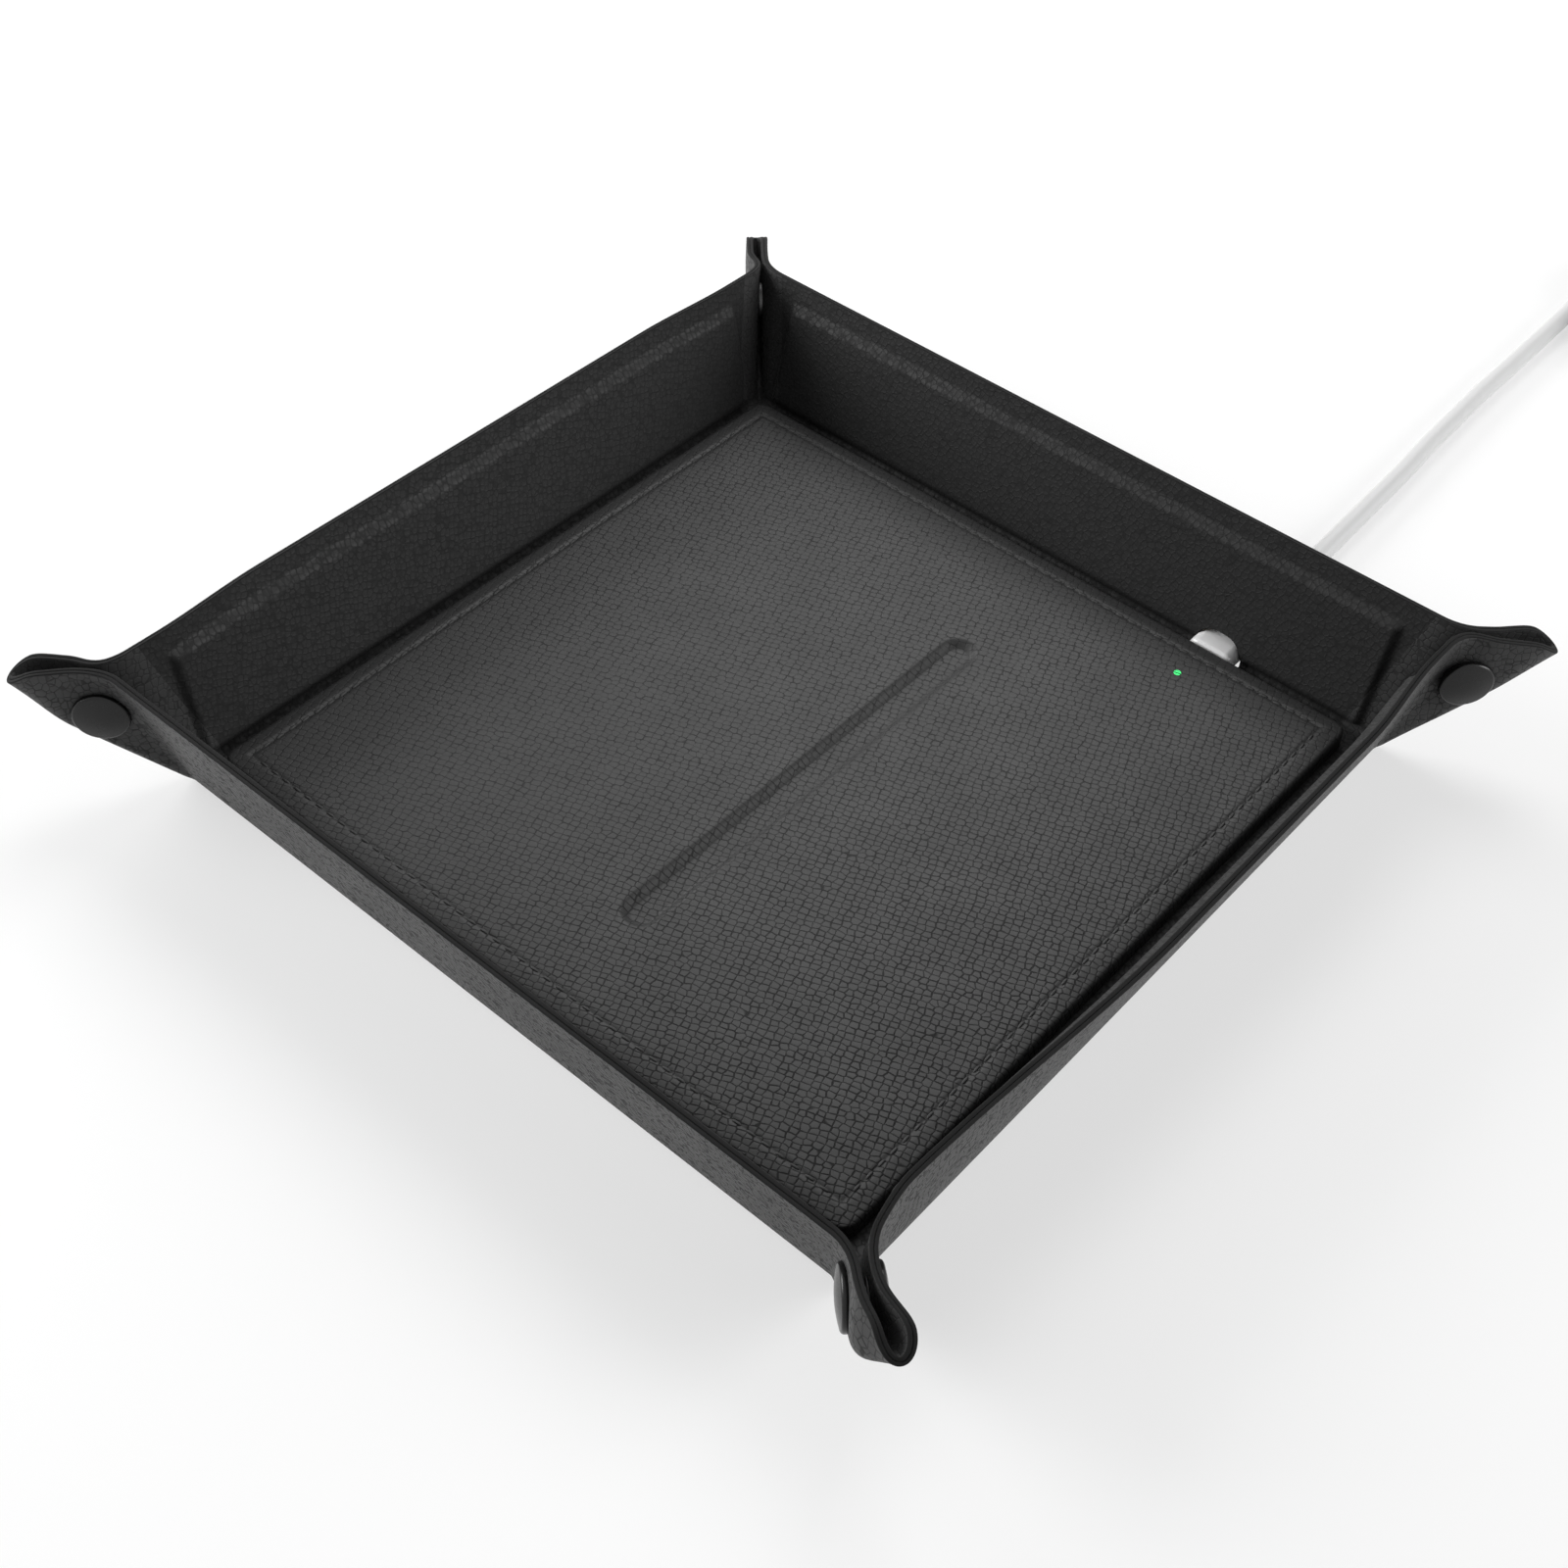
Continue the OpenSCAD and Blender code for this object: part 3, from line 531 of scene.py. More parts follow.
# A half corner's own plane at its snap: the point on the sheet's middle, the outward normal and the crease direction
def earFrame(side, end):
    along, away = 25 * mm, 8.5 * mm
    spot = fromCrease(np.array(along), np.array(away))
    step = 0.01 * mm
    at = [stand(earPlane(spot[0] + dx, spot[1] + dy), side, end) for dx, dy in ((0, 0), (step, 0), (0, step))]
    normal = np.cross(at[1] - at[0], at[2] - at[0]) * end
    crease = (at[1] - at[0]) + (at[2] - at[0])
    return at[0], normal / np.linalg.norm(normal), crease / np.linalg.norm(crease)


def earPlane(x, y):
    c, s = math.cos(mitreTurn), math.sin(mitreTurn)
    q, r = (x - mitreX) * c - y * s, (x - mitreX) * s + y * c
    flatQ, h = q * math.cos(foldTurn), q * math.sin(foldTurn)
    return np.array([tray["half"] + mitreX + flatQ * c + r * s, -flatQ * s + r * c, h])


# The cable's notch in the back wall: its half width, its height and its corner, seen from the back
notch = {"x": 52.5 * mm, "half": 6.75 * mm, "top": 7.6 * mm, "square": 2.6}


# Height of the notch above the table at a distance from its middle: a superellipse, a little squarer than an arch
def notchTop(away):
    share = np.clip(np.abs(away) / notch["half"], 0, 1)
    return notch["top"] * (1 - share ** notch["square"]) ** (1 / notch["square"])


def wallColumns(side):
    ends = np.linspace(0.86, 1, 28)
    middle = np.linspace(-0.86, 0.86, 46)
    columns = np.concatenate([-ends[::-1], middle[1:-1], ends])
    if side == 2:
        reach = tray["half"] + borderX(tray["foot"])
        middleX, half = -notch["x"] / reach, notch["half"] / reach
        near = middleX + half * np.concatenate([-np.cos(np.linspace(0, math.pi, 25))])
        columns = np.sort(np.concatenate([columns[np.abs(columns - middleX) > half * 1.05], near]))
    return np.concatenate([[2 * columns[0] - columns[1]], columns, [2 * columns[-1] - columns[-2]]])


# A wall above its foot: columns fan from the foot to the rim; over the notch they start at its edge
def addWall(side):
    name = sides[side] + "_wall"
    columns = wallColumns(side)
    footY = np.full(len(columns), tray["foot"])
    reach = tray["half"] + borderX(tray["foot"])
    if side == 2:
        high = notchTop(columns * reach + notch["x"])
        footY = np.maximum(footY, (high - axisZ) / math.cos(lean))
    footX = columns * (tray["half"] + borderX(footY))
    if side == 2:
        footX = columns * reach
    rimX = columns * (tray["half"] + borderX(tray["slope"]))
    for skin in skins:
        rows = skinRows(44, 1.3)
        foot, rim = np.stack([footX, footY], -1), np.stack([rimX, footX * 0 + tray["slope"]], -1)
        run = rim - foot
        length = np.linalg.norm(run, axis=-1)
        r = look["edgeRound"]
        back = r * rows[:, 1, None] + (length - r) * (1 - rows[:, 0, None])
        place = rim - run / length[:, None] * back[..., None]
        sign = np.where(columns < 0, -1.0, 1.0)[None, :] + 0 * back
        x, y = np.abs(place[..., 0]) - tray["half"], place[..., 1]
        h = skins[skin] + rows[:, 2, None] + 0 * back
        points = stand(sheetPoint(x, y, h, skin == "inner", side, sign), side, sign)
        normals = gridNormals(points)
        keep = slice(1, -1)
        flat = flatPlace(x, y, side, sign)
        part = gridMesh(name, points[keep, keep], flat[keep, keep], rows[keep, 3, None], True,
                        normals=normals[keep, keep])
        kind = "leather" if skin == "outer" else "lining"
        made = addObject(name + "_" + kind + "_sheet", buildMesh(name, [part]), paint[kind])
        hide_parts(name + ("_skin" if skin == "outer" else "_lining"))
        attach(made, name)


# From a point on the wall to one on the floor, bending close to the corner point between them
def foldLine(top, corner, bottom, share):
    k, s = look["foldTight"], share
    a, b = top + (corner - top) * k, bottom + (corner - bottom) * k
    return top * (1 - s) ** 3 + a * 3 * s * (1 - s) ** 2 + b * 3 * s * s * (1 - s) + bottom * s ** 3


foldShares = 0.5 + 0.5 * np.sin(np.linspace(-math.pi / 2, math.pi / 2, 19))


# A fold's piece: from the wall's foot round onto the floor, on both faces of a skin
def foldGrid(stations, side, end, skin):
    parts = []
    for face in (1, -1):
        h = skins[skin] + face * skinHalf
        top, corner, bottom = stations(h, skin)
        s = np.concatenate([[-0.04], foldShares, [1.04]])[:, None, None]
        points = foldLine(top[None], corner[None], bottom[None], s)
        normals = gridNormals(points)
        keep = slice(1, -1)
        flat = points[..., :2]
        parts.append(gridMesh("fold", points[keep, keep], flat[keep, keep], np.zeros((1, 1)),
                              (face > 0) == (end > 0), normals=normals[keep, keep]))
    return parts


# Where the floor's plane and a wall's plane meet, both moved off the sheet's middle by h
def planesCorner(axis, h, normal):
    down = np.array([0.0, 0.0, -1.0])
    return axis + h * (down + normal) / (1 + (normal @ down))[..., None]


def straightStations(side, low, high, count):
    def stations(h, skin):
        along = np.linspace(low - (high - low) / count, high + (high - low) / count, count + 3)
        zero = 0 * along
        sign = np.where(along < 0, -1.0, 1.0)
        x = np.abs(along) - tray["half"]
        top = stand(sheetPoint(x, zero + tray["foot"], zero + h, skin == "inner", side, sign), side, sign)
        axis = stand(np.stack([along, zero, zero], -1), side, 1)
        normal = stand(np.stack([along, zero, zero + 1], -1), side, 1) - axis
        corner = planesCorner(axis, h, normal)
        inward = stand(np.stack([along, zero, zero], -1), side, 1)
        bottom = inward.copy()
        toCentre = stand(np.array([0.0, 0.0, 0.0]), side, 1)
        toCentre[2] = 0
        bottom = bottom - toCentre / np.linalg.norm(toCentre) * tray["floorIn"]
        bottom[..., 2] = axisZ - h
        return top, corner, bottom
    return stations


def addFold(side):
    reach = tray["half"] + borderX(tray["foot"])
    spans = [(-reach, reach, 90)]
    if side == 2:
        spans = [(-reach, -notch["x"] - notch["half"], 20), (-notch["x"] + notch["half"], reach, 70)]
    for skin in skins:
        parts = [p for low, high, count in spans
                 for p in foldGrid(straightStations(side, low, high, count), side, 1, skin)]
        kind = "leather" if skin == "outer" else "lining"
        made = addObject(sides[side] + "_fold_" + kind, buildMesh("fold", parts), paint[kind])
        centre = stand(np.array([[0.0, 0, 0], [0.0, 2.4 * mm, 0]]), side, 1)
        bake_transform(made)


# The tucked corner under a pinched ear: the wall's foot runs round the floor's corner and in at the crease
def addTuck(side, end):
    def stations(h, skin):
        count = 26
        footEnd = (tray["foot"] - borderX(tray["foot"])) / math.sqrt(2)
        away = np.linspace(footEnd * (1 + 1 / count), -footEnd / count, count + 3)
        flat = fromCrease(math.sqrt(2) * tray["foot"] - away, away)
        x, y = flat[:, 0], flat[:, 1]
        local = [sheetPoint(x + dx, y + dy, 0 * x + h, skin == "inner", side, end)
                 for dx, dy in ((0, 0), (0.02 * mm, 0), (0, 0.02 * mm))]
        top = stand(local[0], side, end)
        normal = np.cross(stand(local[1], side, end) - top, stand(local[2], side, end) - top) * end
        normal = normal / np.linalg.norm(normal, axis=-1, keepdims=True)
        share = np.clip((x - mitreX) / (tray["foot"] - mitreX), -2, 1.2)
        half = tray["half"]
        past = np.maximum(share, 0)
        axisX = np.where(share > 0, half + mitreX + (2 * past - past ** 2 * 0.85) * -mitreX, half + x)
        axisY = np.where(share > 0, -half - 0.4 * mm * past ** 2 * 1.0, -half)
        axis = turnTo(np.stack([end * axisX, axisY, 0 * x + axisZ], -1), side)
        corner = planesCorner(axis, h, normal)
        inner = half + borderX(tray["foot"])
        turn = np.clip(1 - away / footEnd, -0.2, 1.2) * math.pi / 4
        r = inner - (half - tray["floorIn"])
        bottom = turnTo(np.stack([end * (inner - r * np.sin(turn)), -(inner - r * np.cos(turn)), 0 * x + axisZ - h],
                                 -1), side)
        return top, corner, bottom
    name = sides[side] + "_" + sides[(side + end) % 4] + "_tuck"
    parts = [p for skin in skins for p in foldGrid(stations, side, end, skin)]
    made = addObject(name, buildMesh(name, parts), paint["leather"])
    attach(made, "base")
    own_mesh(made)


def turnTo(points, side):
    for _ in range(side):
        points = np.stack([-points[..., 1], points[..., 0], points[..., 2]], -1)
    return points


def addFloor():
    edge = tray["half"] - tray["floorIn"] + 0.8 * mm
    ticks = np.linspace(-edge, edge, 24)
    x, y = np.meshgrid(ticks, ticks)
    for kind, low, node in (("leather", 0, "floor_outer_skin"), ("lining", tray["skin"], "floor_lining")):
        parts = []
        for z, flip in ((low + look["layerGap"] * 1.5, True), (low + tray["skin"] - look["layerGap"] * 1.5, False)):
            points = np.stack([x, y, 0 * x + z], -1)
            cut = (y > 88 * mm) & (np.abs(x - notch["x"]) < 9 * mm)
            points[..., 1] = np.where(cut, 91.5 * mm, points[..., 1])
            parts.append(gridMesh("floor", points, points[..., :2], np.zeros((1, 1)), flip))
        made = addObject("floor_" + kind + "_sheet", buildMesh("floor", parts), paint[kind])
        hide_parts(node)
        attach(made, "base")


# The pad: crowned edges, a pen groove and a shallow channel for the stitches
pad = {
    "half": 91.5 * mm, "low": 1.8 * mm, "high": 6.5 * mm, "corner": 4 * mm, "round": 1.1 * mm,
    "grooveX": 9 * mm, "grooveY": -5.5 * mm, "grooveLong": 118 * mm, "grooveWide": 9 * mm, "grooveDeep": 1.6 * mm,
    "grooveFlat": 2.3 * mm,
    "stitchIn": 5 * mm, "stitchPitch": 3.7 * mm, "stitchLong": 2.7 * mm, "channelDeep": 0.22 * mm,
    "puff": 0.35 * mm,
}


# Depth of the groove: flat along its middle, with soft slopes up to the pad's face
def padGroove(x, y):
    length = (pad["grooveLong"] - pad["grooveWide"]) / 2
    over = np.maximum(np.abs(y - pad["grooveY"]) - length, 0)
    far = np.hypot(x - pad["grooveX"], over)
    return pad["grooveDeep"] * (1 - smooth((far - pad["grooveFlat"]) / (5.0 * mm - pad["grooveFlat"])))


def padHeight(x, y):
    inset = pad["half"] - np.maximum(np.abs(x), np.abs(y))
    edge = np.clip(1 - inset / pad["round"], 0, 1)
    drop = pad["round"] * (1 - np.sqrt(1 - edge ** 2))
    channel = pad["channelDeep"] * np.exp(-((inset - pad["stitchIn"]) / (0.55 * mm)) ** 2)
    puff = pad["puff"] * (1 - smooth(inset / (4.5 * mm)))
    return pad["high"] - drop - channel - puff - padGroove(x, y)


def padTicks(extra):
    h = pad["half"]
    rim = h - np.array([0, 0.15, 0.35, 0.6, 0.9, 1.3, 1.8, 2.4, 3.0, 3.6, 4.0, 4.3, 4.6, 4.8, 5.0, 5.2, 5.4, 5.7, 6.0,
                        6.4, 7.0, 8.0, 10.0]) * mm
    skirt = h + np.array([0.3, 1.2, 2.4, 3.6]) * mm
    middle = np.concatenate([np.arange(-80, 80.1, 3.2) * mm, extra])
    return np.unique(np.round(np.concatenate([rim, -rim, skirt, -skirt, middle]), 6))


def addPad():
    fineX = pad["grooveX"] + np.arange(-6.5, 6.6, 0.5) * mm
    ends = [pad["grooveY"] + k * pad["grooveLong"] / 2 + np.arange(-6.5, 6.6, 0.6) * mm for k in (-1, 1)]
    tx, ty = padTicks(fineX), padTicks(np.concatenate(ends))
    gx, gy = np.meshgrid(tx, ty)
    h, r = pad["half"], pad["corner"]
    below = np.maximum(np.maximum(np.abs(gx), np.abs(gy)) - h, 0)
    x, y = np.clip(gx, -h, h), np.clip(gy, -h, h)
    z = np.where(below > 0, pad["high"] - pad["round"] - below - pad["puff"], padHeight(x, y))
    z = np.maximum(z, pad["low"])
    ax, ay = np.maximum(np.abs(x) - (h - r), 0) / r, np.maximum(np.abs(y) - (h - r), 0) / r
    roundX = np.where(ax * ay > 0, (h - r + r * ax * np.sqrt(1 - ay ** 2 / 2)), np.abs(x))
    roundY = np.where(ax * ay > 0, (h - r + r * ay * np.sqrt(1 - ax ** 2 / 2)), np.abs(y))
    points = np.stack([np.sign(x) * roundX, np.sign(y) * roundY, z], -1)
    flat = np.stack([gx, gy], -1)
    made = addObject("pad_cover_leather", buildMesh("pad", [gridMesh("pad", points, flat, np.zeros((1, 1)), False)]),
                     paint["cover"])
    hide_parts("pad_cover")
    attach(made, "base")


# A capsule of thread: rings along its length, thick in the middle and tucked in at both ends
def stitchShape():
    long_, wide = pad["stitchLong"] / 2, 0.36 * mm
    t = np.linspace(-1, 1, 9)[:, None]
    a = np.linspace(0, 2 * math.pi, 9)[None, :]
    width = wide * np.sqrt(1 - np.abs(t) ** 3)
    return np.stack([t * long_ + 0 * a, np.cos(a) * width, np.sin(a) * width * 0.8 - 0.35 * mm * t ** 4], -1)


def addStitches():
    shape = stitchShape()
    half, corner = pad["half"] - pad["stitchIn"], 2.5 * mm
    run = 2 * (half - corner)
    count = int(run / pad["stitchPitch"])
    offsets = (np.arange(count) + 0.5) / count * run - run / 2
    parts = []
    for side in range(4):
        for i, along in enumerate(offsets):
            turned = np.radians(4.0)
            x = shape[..., 0] * math.cos(turned) - shape[..., 1] * math.sin(turned)
            y = shape[..., 0] * math.sin(turned) + shape[..., 1] * math.cos(turned)
            top = padHeight(np.array(along), np.array(half))
            points = turnTo(np.stack([x + along, y - half, shape[..., 2] + top + 0.05 * mm], -1), side)
            parts.append(gridMesh("stitch", points, points[..., :2], np.zeros((1, 1)), False))
    made = addObject("pad_stitches", buildMesh("stitches", parts), paint["thread"])
    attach(made, "base")


# A turned shape: points of its profile, as radius and height, swept about its own axis
def turnedMesh(name, profile, count=64):
    a = np.linspace(0, 2 * math.pi, count + 1)
    r, z = np.array(profile).T
    points = np.stack([r[:, None] * np.cos(a), r[:, None] * np.sin(a), z[:, None] + 0 * a], -1)
    return buildMesh(name, [gridMesh(name, points, points[..., :2], np.zeros((1, 1)), True)])


# A snap cap: a nearly flat, faintly domed face, a round shoulder and a rim that presses into the leather
cap = {"radius": 6.3 * mm, "rim": 0.55 * mm, "shoulder": 0.75 * mm, "dome": 0.7 * mm}


def addCaps():
    r, s = cap["radius"], cap["shoulder"]
    face = [((r - s) * k, cap["rim"] + s + cap["dome"] * (1 - k * k)) for k in np.linspace(0, 1, 12)]
    shoulder = [(r - s + s * math.sin(t), cap["rim"] + s * math.cos(t)) for t in np.radians([18, 36, 54, 72, 90])]
    mesh = turnedMesh("snap_cap", face + shoulder + [(r, 0.1 * mm), (r - 0.3 * mm, -0.5 * mm), (0, -0.5 * mm)])
    mesh.materials.append(paint["cap"])
    for side in range(4):
        for end in (1, -1):
            name = sides[side] + "_" + sides[(side + end) % 4]
            origin, normal, crease = (Vector(v) for v in earFrame(side, end))
            made = bpy.data.objects.new(name + "_cap", mesh.copy())
            bpy.context.scene.collection.objects.link(made)
            turn = Matrix((crease, normal.cross(crease), normal)).transposed().to_4x4()
            made.data.transform(Matrix.Translation(origin + normal * tray["skin"]) @ turn)
            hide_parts(name + "_snap_cap")
            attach(made, name + "_ear")


# The cable. Its route is the frame's: straight back from the plug, then away to a coil outside the picture
cable = {
    "width": 5.2 * mm, "plugX": 52.5 * mm, "plugZ": 3.4 * mm, "plugStart": 91.8 * mm, "plugLong": 20 * mm,
    "plugWide": 12.4 * mm, "plugHigh": 5.8 * mm, "relief": 9 * mm, "pitch": 5.7 * mm, "coilOut": 36 * mm,
    "turns": 2.5, "tuck": 1.2 * mm,
}
runPoints = [(0, 0), (0, 6), (0, 14), (-0.5, 26), (-1, 40), (-1.5, 54), (-2, 68), (-3, 84), (-3.5, 100), (-4, 116),
             (-4, 132), (-4, 148), (-4, 164), (-4, 180), (-4, 188)]
runRise = [0, 0, -0.4, -0.6, -0.6, -0.6, -0.6, -0.6, -0.6, -0.6, -0.6, -0.4, 0, 0.3, 0.3]
tailPoints = [(0, 0), (0, -5), (0, -13), (0, -23), (0, -33), (0, -41), (0, -46)]
tailDrop = [0, 0, -1.4, -3.8, -5.7, -6.5, -6.5]


def coilRoute(centre, low):
    turns, pitch, out = cable["turns"], cable["pitch"], cable["coilOut"]
    q = np.arange(0, 2 * turns + 0.5 + 1e-9, 1 / 24)
    climbing = (q - turns) * 2
    radius = np.where(q < turns, out - pitch * q, np.where(
        q < turns + 0.5, out - pitch * turns - cable["tuck"] * np.sin(np.pi * np.clip(climbing, 0, 1)),
        out - pitch * (2 * turns + 0.5 - q)))
    a = np.radians(180 - 360 * q)
    return np.stack([centre[0] + radius * np.cos(a), centre[1] + radius * np.sin(a), low + pitch * smooth(climbing)], -1)


def cableRoute():
    start = np.array([cable["plugX"], cable["plugStart"] + cable["plugLong"] + cable["relief"], cable["plugZ"]])
    run = start + np.array([(x, y, z) for (x, y), z in zip(runPoints, runRise)]) * mm
    centre = run[-1, :2] + [cable["coilOut"], cable["width"]]
    coil = coilRoute(centre, run[-1, 2])
    first = np.array([coil[-1, 0], centre[1] - cable["width"], coil[-1, 2]])
    tail = first + np.array([(x, y, z) for (x, y), z in zip(tailPoints, tailDrop)]) * mm
    return np.concatenate([run, coil, tail]), start, tail[-1], centre, run[-1, 2]


def roundedBar(name, width, height, length, edge):
    r = height / 2
    a = np.linspace(0, 2 * math.pi, 65)
    middle = np.where(np.abs(np.cos(a)) > 1e-6, np.sign(np.cos(a)), 0) * (width - height) / 2
    turns = np.radians([0, 22.5, 45, 67.5, 90])
    inset = np.concatenate([[r], edge * (1 - np.sin(turns))])
    depth = np.concatenate([[0], edge * (1 - np.cos(turns))])
    inset = np.concatenate([inset, inset[::-1]])[:, None]
    y = np.concatenate([depth, length - depth[::-1]])[:, None]
    points = np.stack([middle + (r - inset) * np.cos(a), y + 0 * a, (r - inset) * np.sin(a)], -1)
    return gridMesh(name, points, points[..., :2], np.zeros((1, 1)), False)


def addPlug(name, place, node):
    part = roundedBar(name, cable["plugWide"], cable["plugHigh"], cable["plugLong"], 1.1 * mm)
    made = addObject(name, buildMesh(name, [part]), paint["white"])
    made.data.transform(Matrix.Translation(Vector(place)))
    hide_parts(node)
    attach(made, "cable")
    return made


def addRelief(name, place, node):
    wide, thin, long_ = cable["plugHigh"] / 2 - 0.1 * mm, cable["width"] / 2 + 0.12 * mm, cable["relief"]
    share = np.linspace(0, 1, 28)
    ribs = 0.12 * mm * (0.5 - 0.5 * np.cos(share * 2 * math.pi * 4)) * (share > 0.25)
    radius = wide + (thin - wide) * smooth(share) - ribs
    profile = [(0, 0)] + list(zip(radius, share * long_)) + [(cable["width"] / 2 - 0.05 * mm, long_), (0, long_)]
    made = addObject(name, turnedMesh(name, profile, 40), paint["white"])
    made.data.transform(Matrix.Translation(Vector(place)) @ Matrix.Rotation(-math.pi / 2, 4, "X"))
    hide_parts(node)
    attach(made, "cable")
    return made


def addCable():
    route, start, far, centre, low = cableRoute()
    curve = bpy.data.curves.new("cord_line", "CURVE")
    curve.dimensions, curve.bevel_depth, curve.bevel_resolution, curve.use_fill_caps = "3D", cable["width"] / 2, 8, True
    spline = curve.splines.new("POLY")
    knots = smoothRoute(route)
    spline.points.add(len(knots) - 1)
    spline.points.foreach_set("co", np.concatenate([knots, np.ones((len(knots), 1))], 1).astype(np.float32).ravel())
    spline.use_smooth = True
    line = bpy.data.objects.new("cord_line", curve)
    bpy.context.scene.collection.objects.link(line)
    curve.materials.append(paint["jacket"])
    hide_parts("cord", "cord_coil", "cord_tail")
    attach(line, "cable")
    plug = addPlug("plug_body", (cable["plugX"], cable["plugStart"], cable["plugZ"]), "plug_housing")
    relief = addRelief("plug_relief", (cable["plugX"], cable["plugStart"] + cable["plugLong"], cable["plugZ"]),
                       "plug_strain_relief")
    farPlug = addPlug("far_plug_body", (far[0], far[1] - cable["relief"] - cable["plugLong"], far[2]),
                      "far_plug_housing")
    farRelief = addRelief("far_plug_relief", (far[0], far[1] - cable["relief"], far[2]), "far_strain_relief")


# The route's points joined by a smooth line: each stretch is a cubic through its neighbours, then near-doubles go
def smoothRoute(points):
    gap = np.linalg.norm(np.diff(points, axis=0), axis=1)
    points = points[np.concatenate([[True], gap > 0.2 * mm])]
    padded = np.concatenate([[2 * points[0] - points[1]], points, [2 * points[-1] - points[-2]]])
    out = []
    for a, b, c, d in zip(padded[:-3], padded[1:-2], padded[2:-1], padded[3:]):
        steps = 6 if np.linalg.norm(c - b) > 7.8 * mm else 2
        for t in np.arange(steps) / steps:
            out.append(0.5 * ((2 * b) + (c - a) * t + (2 * a - 5 * b + 4 * c - d) * t * t
                              + (3 * b - a - 3 * c + d) * t ** 3))
    return np.array(out + [points[-1]])


def dressNodes():
    kinds = {
        "steel": ["usb_socket", "plug_shell", "far_plug_shell"],
        "snapMetal": [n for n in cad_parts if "snap_s" in n],
        "blackPlastic": ["pad_base", "pad_lid", "board_components", "usb_socket_tongue", "cord_tie"],
        "boardCard": ["pad_core"],
        "copper": ["charging_coil"], "ferrite": ["ferrite_disc"], "circuit": ["circuit_board"],
        "lamp": ["indicator_light_pipe"],
    }
    for kind, names in kinds.items():
        for name in names:
            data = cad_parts[name].data
            data.materials.clear()
            data.materials.append(paint[kind])


# The edge of the notch: a thin band of turned leather that follows its outline through the wall
def addNotchEdge():
    t = np.linspace(-1, 1, 41)
    across = notch["half"] * np.sin(t * math.pi / 2)
    outline = np.stack([across, np.maximum(notchTop(across), 1.0 * mm)], -1)
    step = np.gradient(outline, axis=0)
    normal = np.stack([-step[:, 1], step[:, 0]], -1) / np.linalg.norm(step, axis=1, keepdims=True)
    a = np.linspace(0, 2 * math.pi, 13)[:, None]
    p = outline + normal * (0.2 * mm * np.sign(np.cos(a)) * np.abs(np.cos(a)) ** 0.6 - 0.05 * mm)[..., None]
    depth = np.sin(a)
    y = (p[..., 1] - axisZ) / math.cos(lean)
    lift = tray["boardThick"] * smooth((y - tray["boardFoot"] + 0.95 * mm) / (1.25 * mm))
    z = np.where(depth > 0, depth * tray["skin"], depth * (tray["skin"] + lift))
    points = stand(np.stack([p[..., 0] - notch["x"], y, z], -1), 2, 1)
    part = gridMesh("notch", points, points[..., [0, 2]], np.ones((1, 1)), False)
    made = addObject("notch_edge", buildMesh("notch", [part]), paint["leather"])
    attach(made, "back_wall")


# A wall's stiffening board, which lies against the outer skin and bends with it
def addBoard(side):
    half, low, high = tray["half"] - tray["boardEnd"], tray["boardFoot"], tray["slope"] - tray["boardRim"]
    x = half * np.sin(np.linspace(-1, 1, 61) * math.pi / 2)
    foot = np.full(61, low)
    if side == 2:
        foot = np.maximum(low, (notchTop(x + notch["x"]) - axisZ) / math.cos(lean) + 0.2 * mm)
    up = np.concatenate([np.linspace(0, 1, 9), np.linspace(1, 0, 9), [0]])[:, None]
    thick = np.concatenate([np.full(9, -1.36), np.full(9, -0.04), [-1.36]])[:, None] * mm
    closed = np.ones(61)
    closed[[0, -1]] = 0
    y = foot + (high - foot) * (0.5 + (up - 0.5) * closed)
    h = -0.7 * mm + (thick + 0.7 * mm) * closed
    sign = np.where(x < 0, -1.0, 1.0)[None, :] + 0 * y
    points = stand(sheetPoint(np.abs(x)[None, :] - tray["half"] + 0 * y, y, h, False, side, sign), side, sign)
    name = sides[side] + "_wall_board_card"
    made = addObject(name, buildMesh(name, [gridMesh(name, points, points[..., :2], np.zeros((1, 1)), False)]),
                     paint["boardCard"])
    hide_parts(sides[side] + "_wall_board")
    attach(made, sides[side] + "_wall")


def areaLight(name, place, target, size, power, colour=(1, 1, 1)):
    data = bpy.data.lights.new(name, "AREA")
    data.shape, data.size, data.size_y, data.energy, data.color = "RECTANGLE", size[0], size[1], power, colour
    made = bpy.data.objects.new(name, data)
    bpy.context.scene.collection.objects.link(made)
    made.location = place
    made.rotation_euler = (Vector(target) - Vector(place)).to_track_quat("-Z", "Y").to_euler()


studio = {
    "floorTone": 0.9,
    "floorGlow": 0.55,     # how much of the floor's own white the camera and reflections see
    "world": 0.13,
    "left": {"place": (-0.96, -0.56, 0.47), "size": (0.7, 0.6), "power": 14.0},
    "right": {"place": (0.96, 0.56, 0.47), "size": (0.7, 0.6), "power": 9.5},
    "top": {"place": (-0.39, 0.67, 0.92), "size": (0.6, 0.6), "power": 6.0},
    "back": {"place": (-1.08, 0.29, 0.47), "size": (0.7, 0.6), "power": 6.0},
}


# What the camera sees of a white backdrop, also through reflections: 1 for those rays, 0 for the rest
def seenDirectly(tree):
    path = tree.nodes.new("ShaderNodeLightPath")
    both = None
    for name in ("Is Camera Ray", "Is Glossy Ray", "Is Transmission Ray"):
        if both is None:
            both = path.outputs[name]
            continue
        either = tree.nodes.new("ShaderNodeMath")
        either.operation = "MAXIMUM"
        tree.links.new(both, either.inputs[0])
        tree.links.new(path.outputs[name], either.inputs[1])
        both = either.outputs[0]
    return both


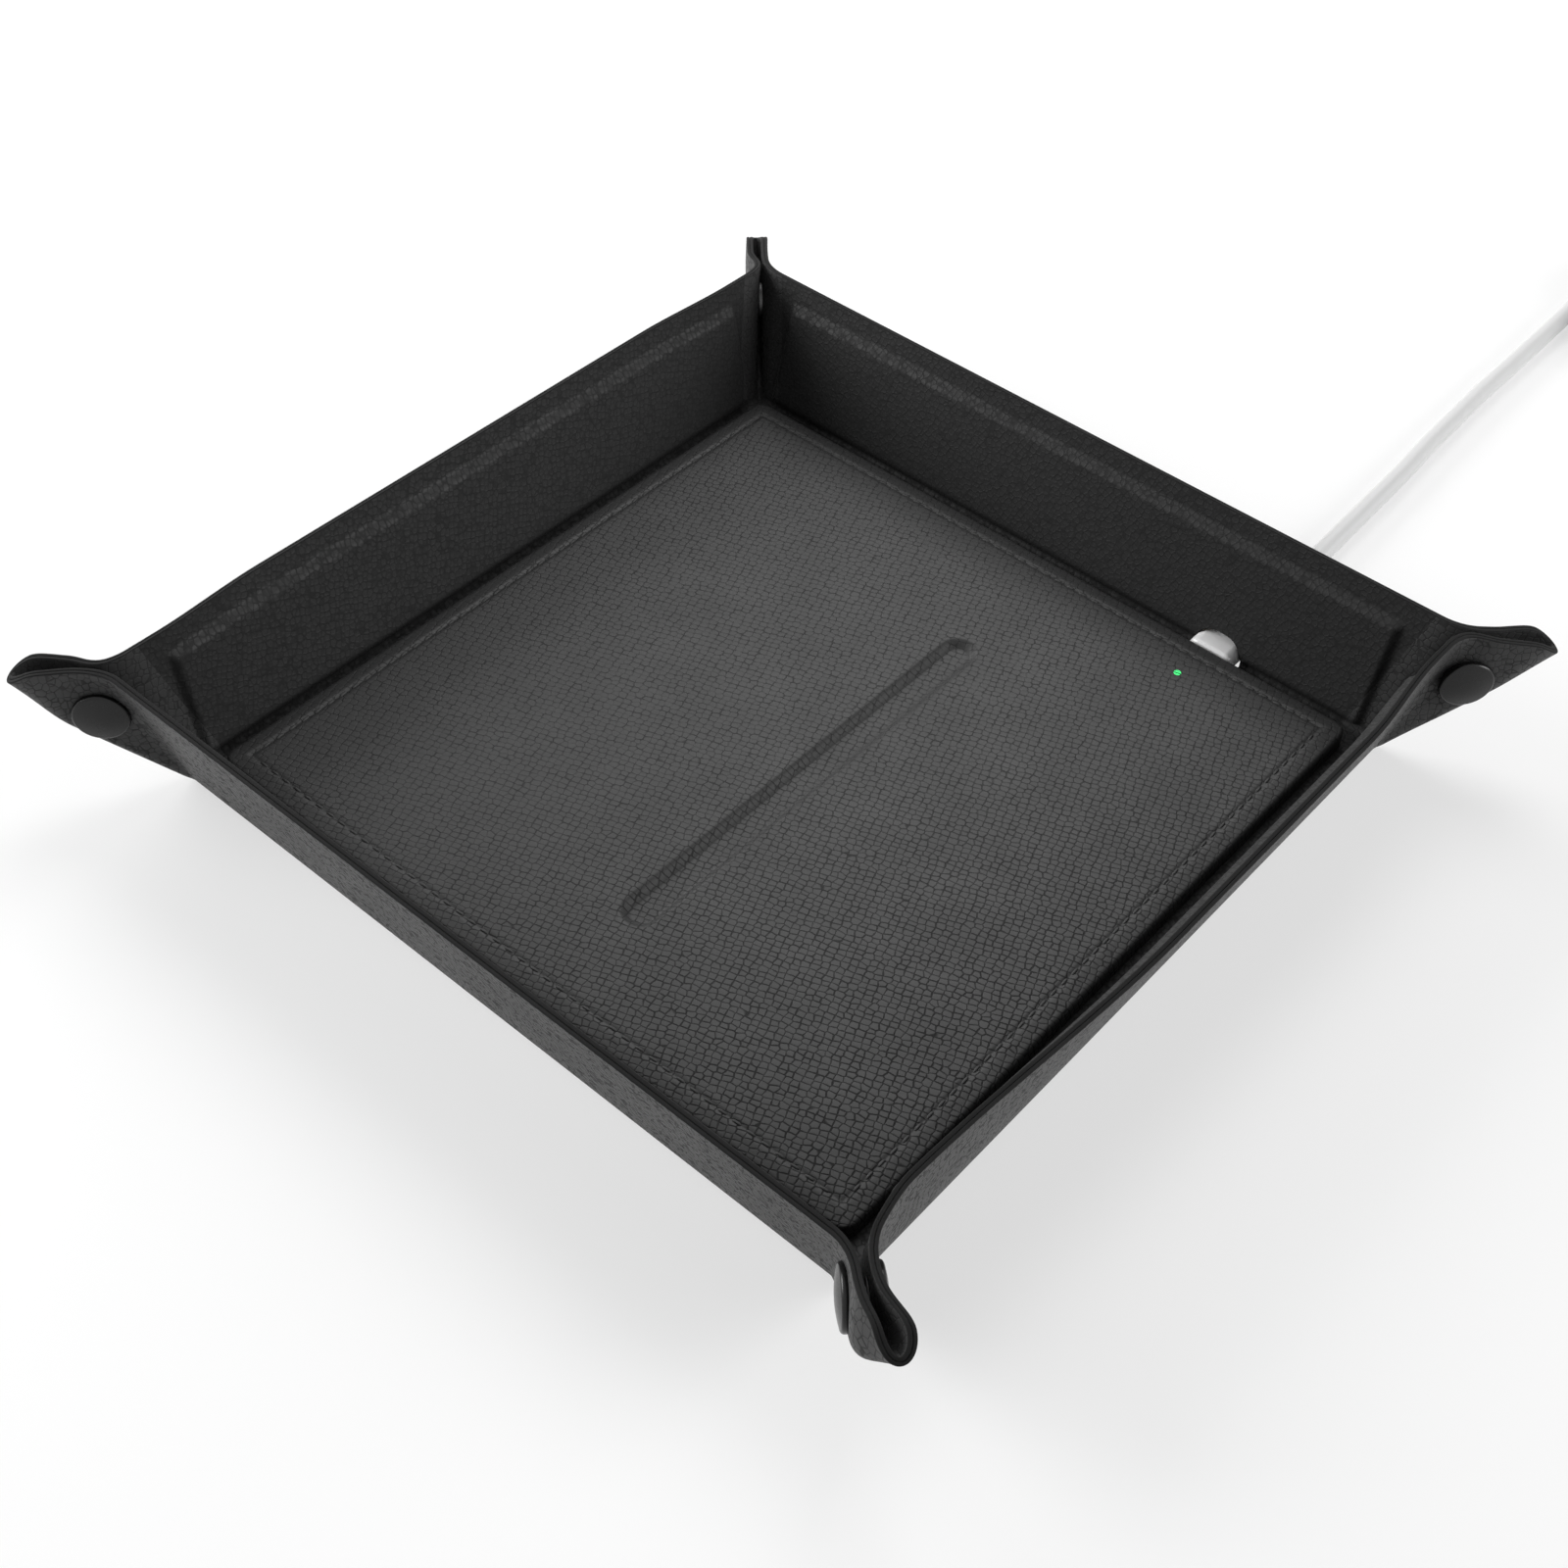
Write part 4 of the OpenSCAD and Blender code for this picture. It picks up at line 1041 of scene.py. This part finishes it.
def makeWorld():
    world = bpy.data.worlds.new("studio")
    bpy.context.scene.world = world
    world.use_nodes = True
    tree = world.node_tree
    tree.nodes.clear()
    output = tree.nodes.new("ShaderNodeOutputWorld")
    mix = tree.nodes.new("ShaderNodeMixShader")
    tree.links.new(seenDirectly(tree), mix.inputs[0])
    for slot, strength in ((1, studio["world"]), (2, 1.0)):
        glow = tree.nodes.new("ShaderNodeBackground")
        glow.inputs[0].default_value, glow.inputs[1].default_value = (1, 1, 1, 1), strength
        tree.links.new(glow.outputs[0], mix.inputs[slot])
    tree.links.new(mix.outputs[0], output.inputs[0])


def makeStudio():
    makeWorld()
    mesh = bpy.data.meshes.new("ground")
    s, z = 3.0, -0.2 * mm
    mesh.from_pydata([(-s, -s, z), (s, -s, z), (s, s, z), (-s, s, z)], [], [(0, 1, 2, 3)])
    shop = Shop("ground")
    place = shop.node("ShaderNodeTexCoord", output=3)
    tone = shop.mix(shop.noise(place, 3.0) * 0.3, grey(studio["floorTone"]), grey(studio["floorTone"] * 0.98))
    white = shop.tree.nodes.new("ShaderNodeEmission")
    seen = shop.tree.nodes.new("ShaderNodeMixShader")
    shop.tree.links.new((Wire(shop, seenDirectly(shop.tree)) * studio["floorGlow"]).socket, seen.inputs[0])
    shop.tree.links.new(shop.shader.outputs[0], seen.inputs[1])
    shop.tree.links.new(white.outputs[0], seen.inputs[2])
    shop.tree.links.new(seen.outputs[0], shop.output.inputs[0])
    addObject("ground", mesh, shop.finish(Base_Color=tone, Roughness=0.7))
    for name in ("left", "right", "top", "back"):
        areaLight(name, studio[name]["place"], (0, 0, 0), studio[name]["size"], studio[name]["power"])
    view = bpy.context.scene.view_settings
    view.view_transform = "Standard"


makeCamera()
makeMaterials()
print("stage: camera and materials")
addCable()
print("stage: cable")
for side in range(4):
    addWall(side)
    addBoard(side)
    addFold(side)
    for end in (1, -1):
        addEar(side, end)
        addTuck(side, end)
addNotchEdge()
print("stage: leather walls and corners")
addFloor()
addPad()
addStitches()
print("stage: floor and pad")
addCaps()
dressNodes()
makeStudio()
print("stage: snaps and studio")
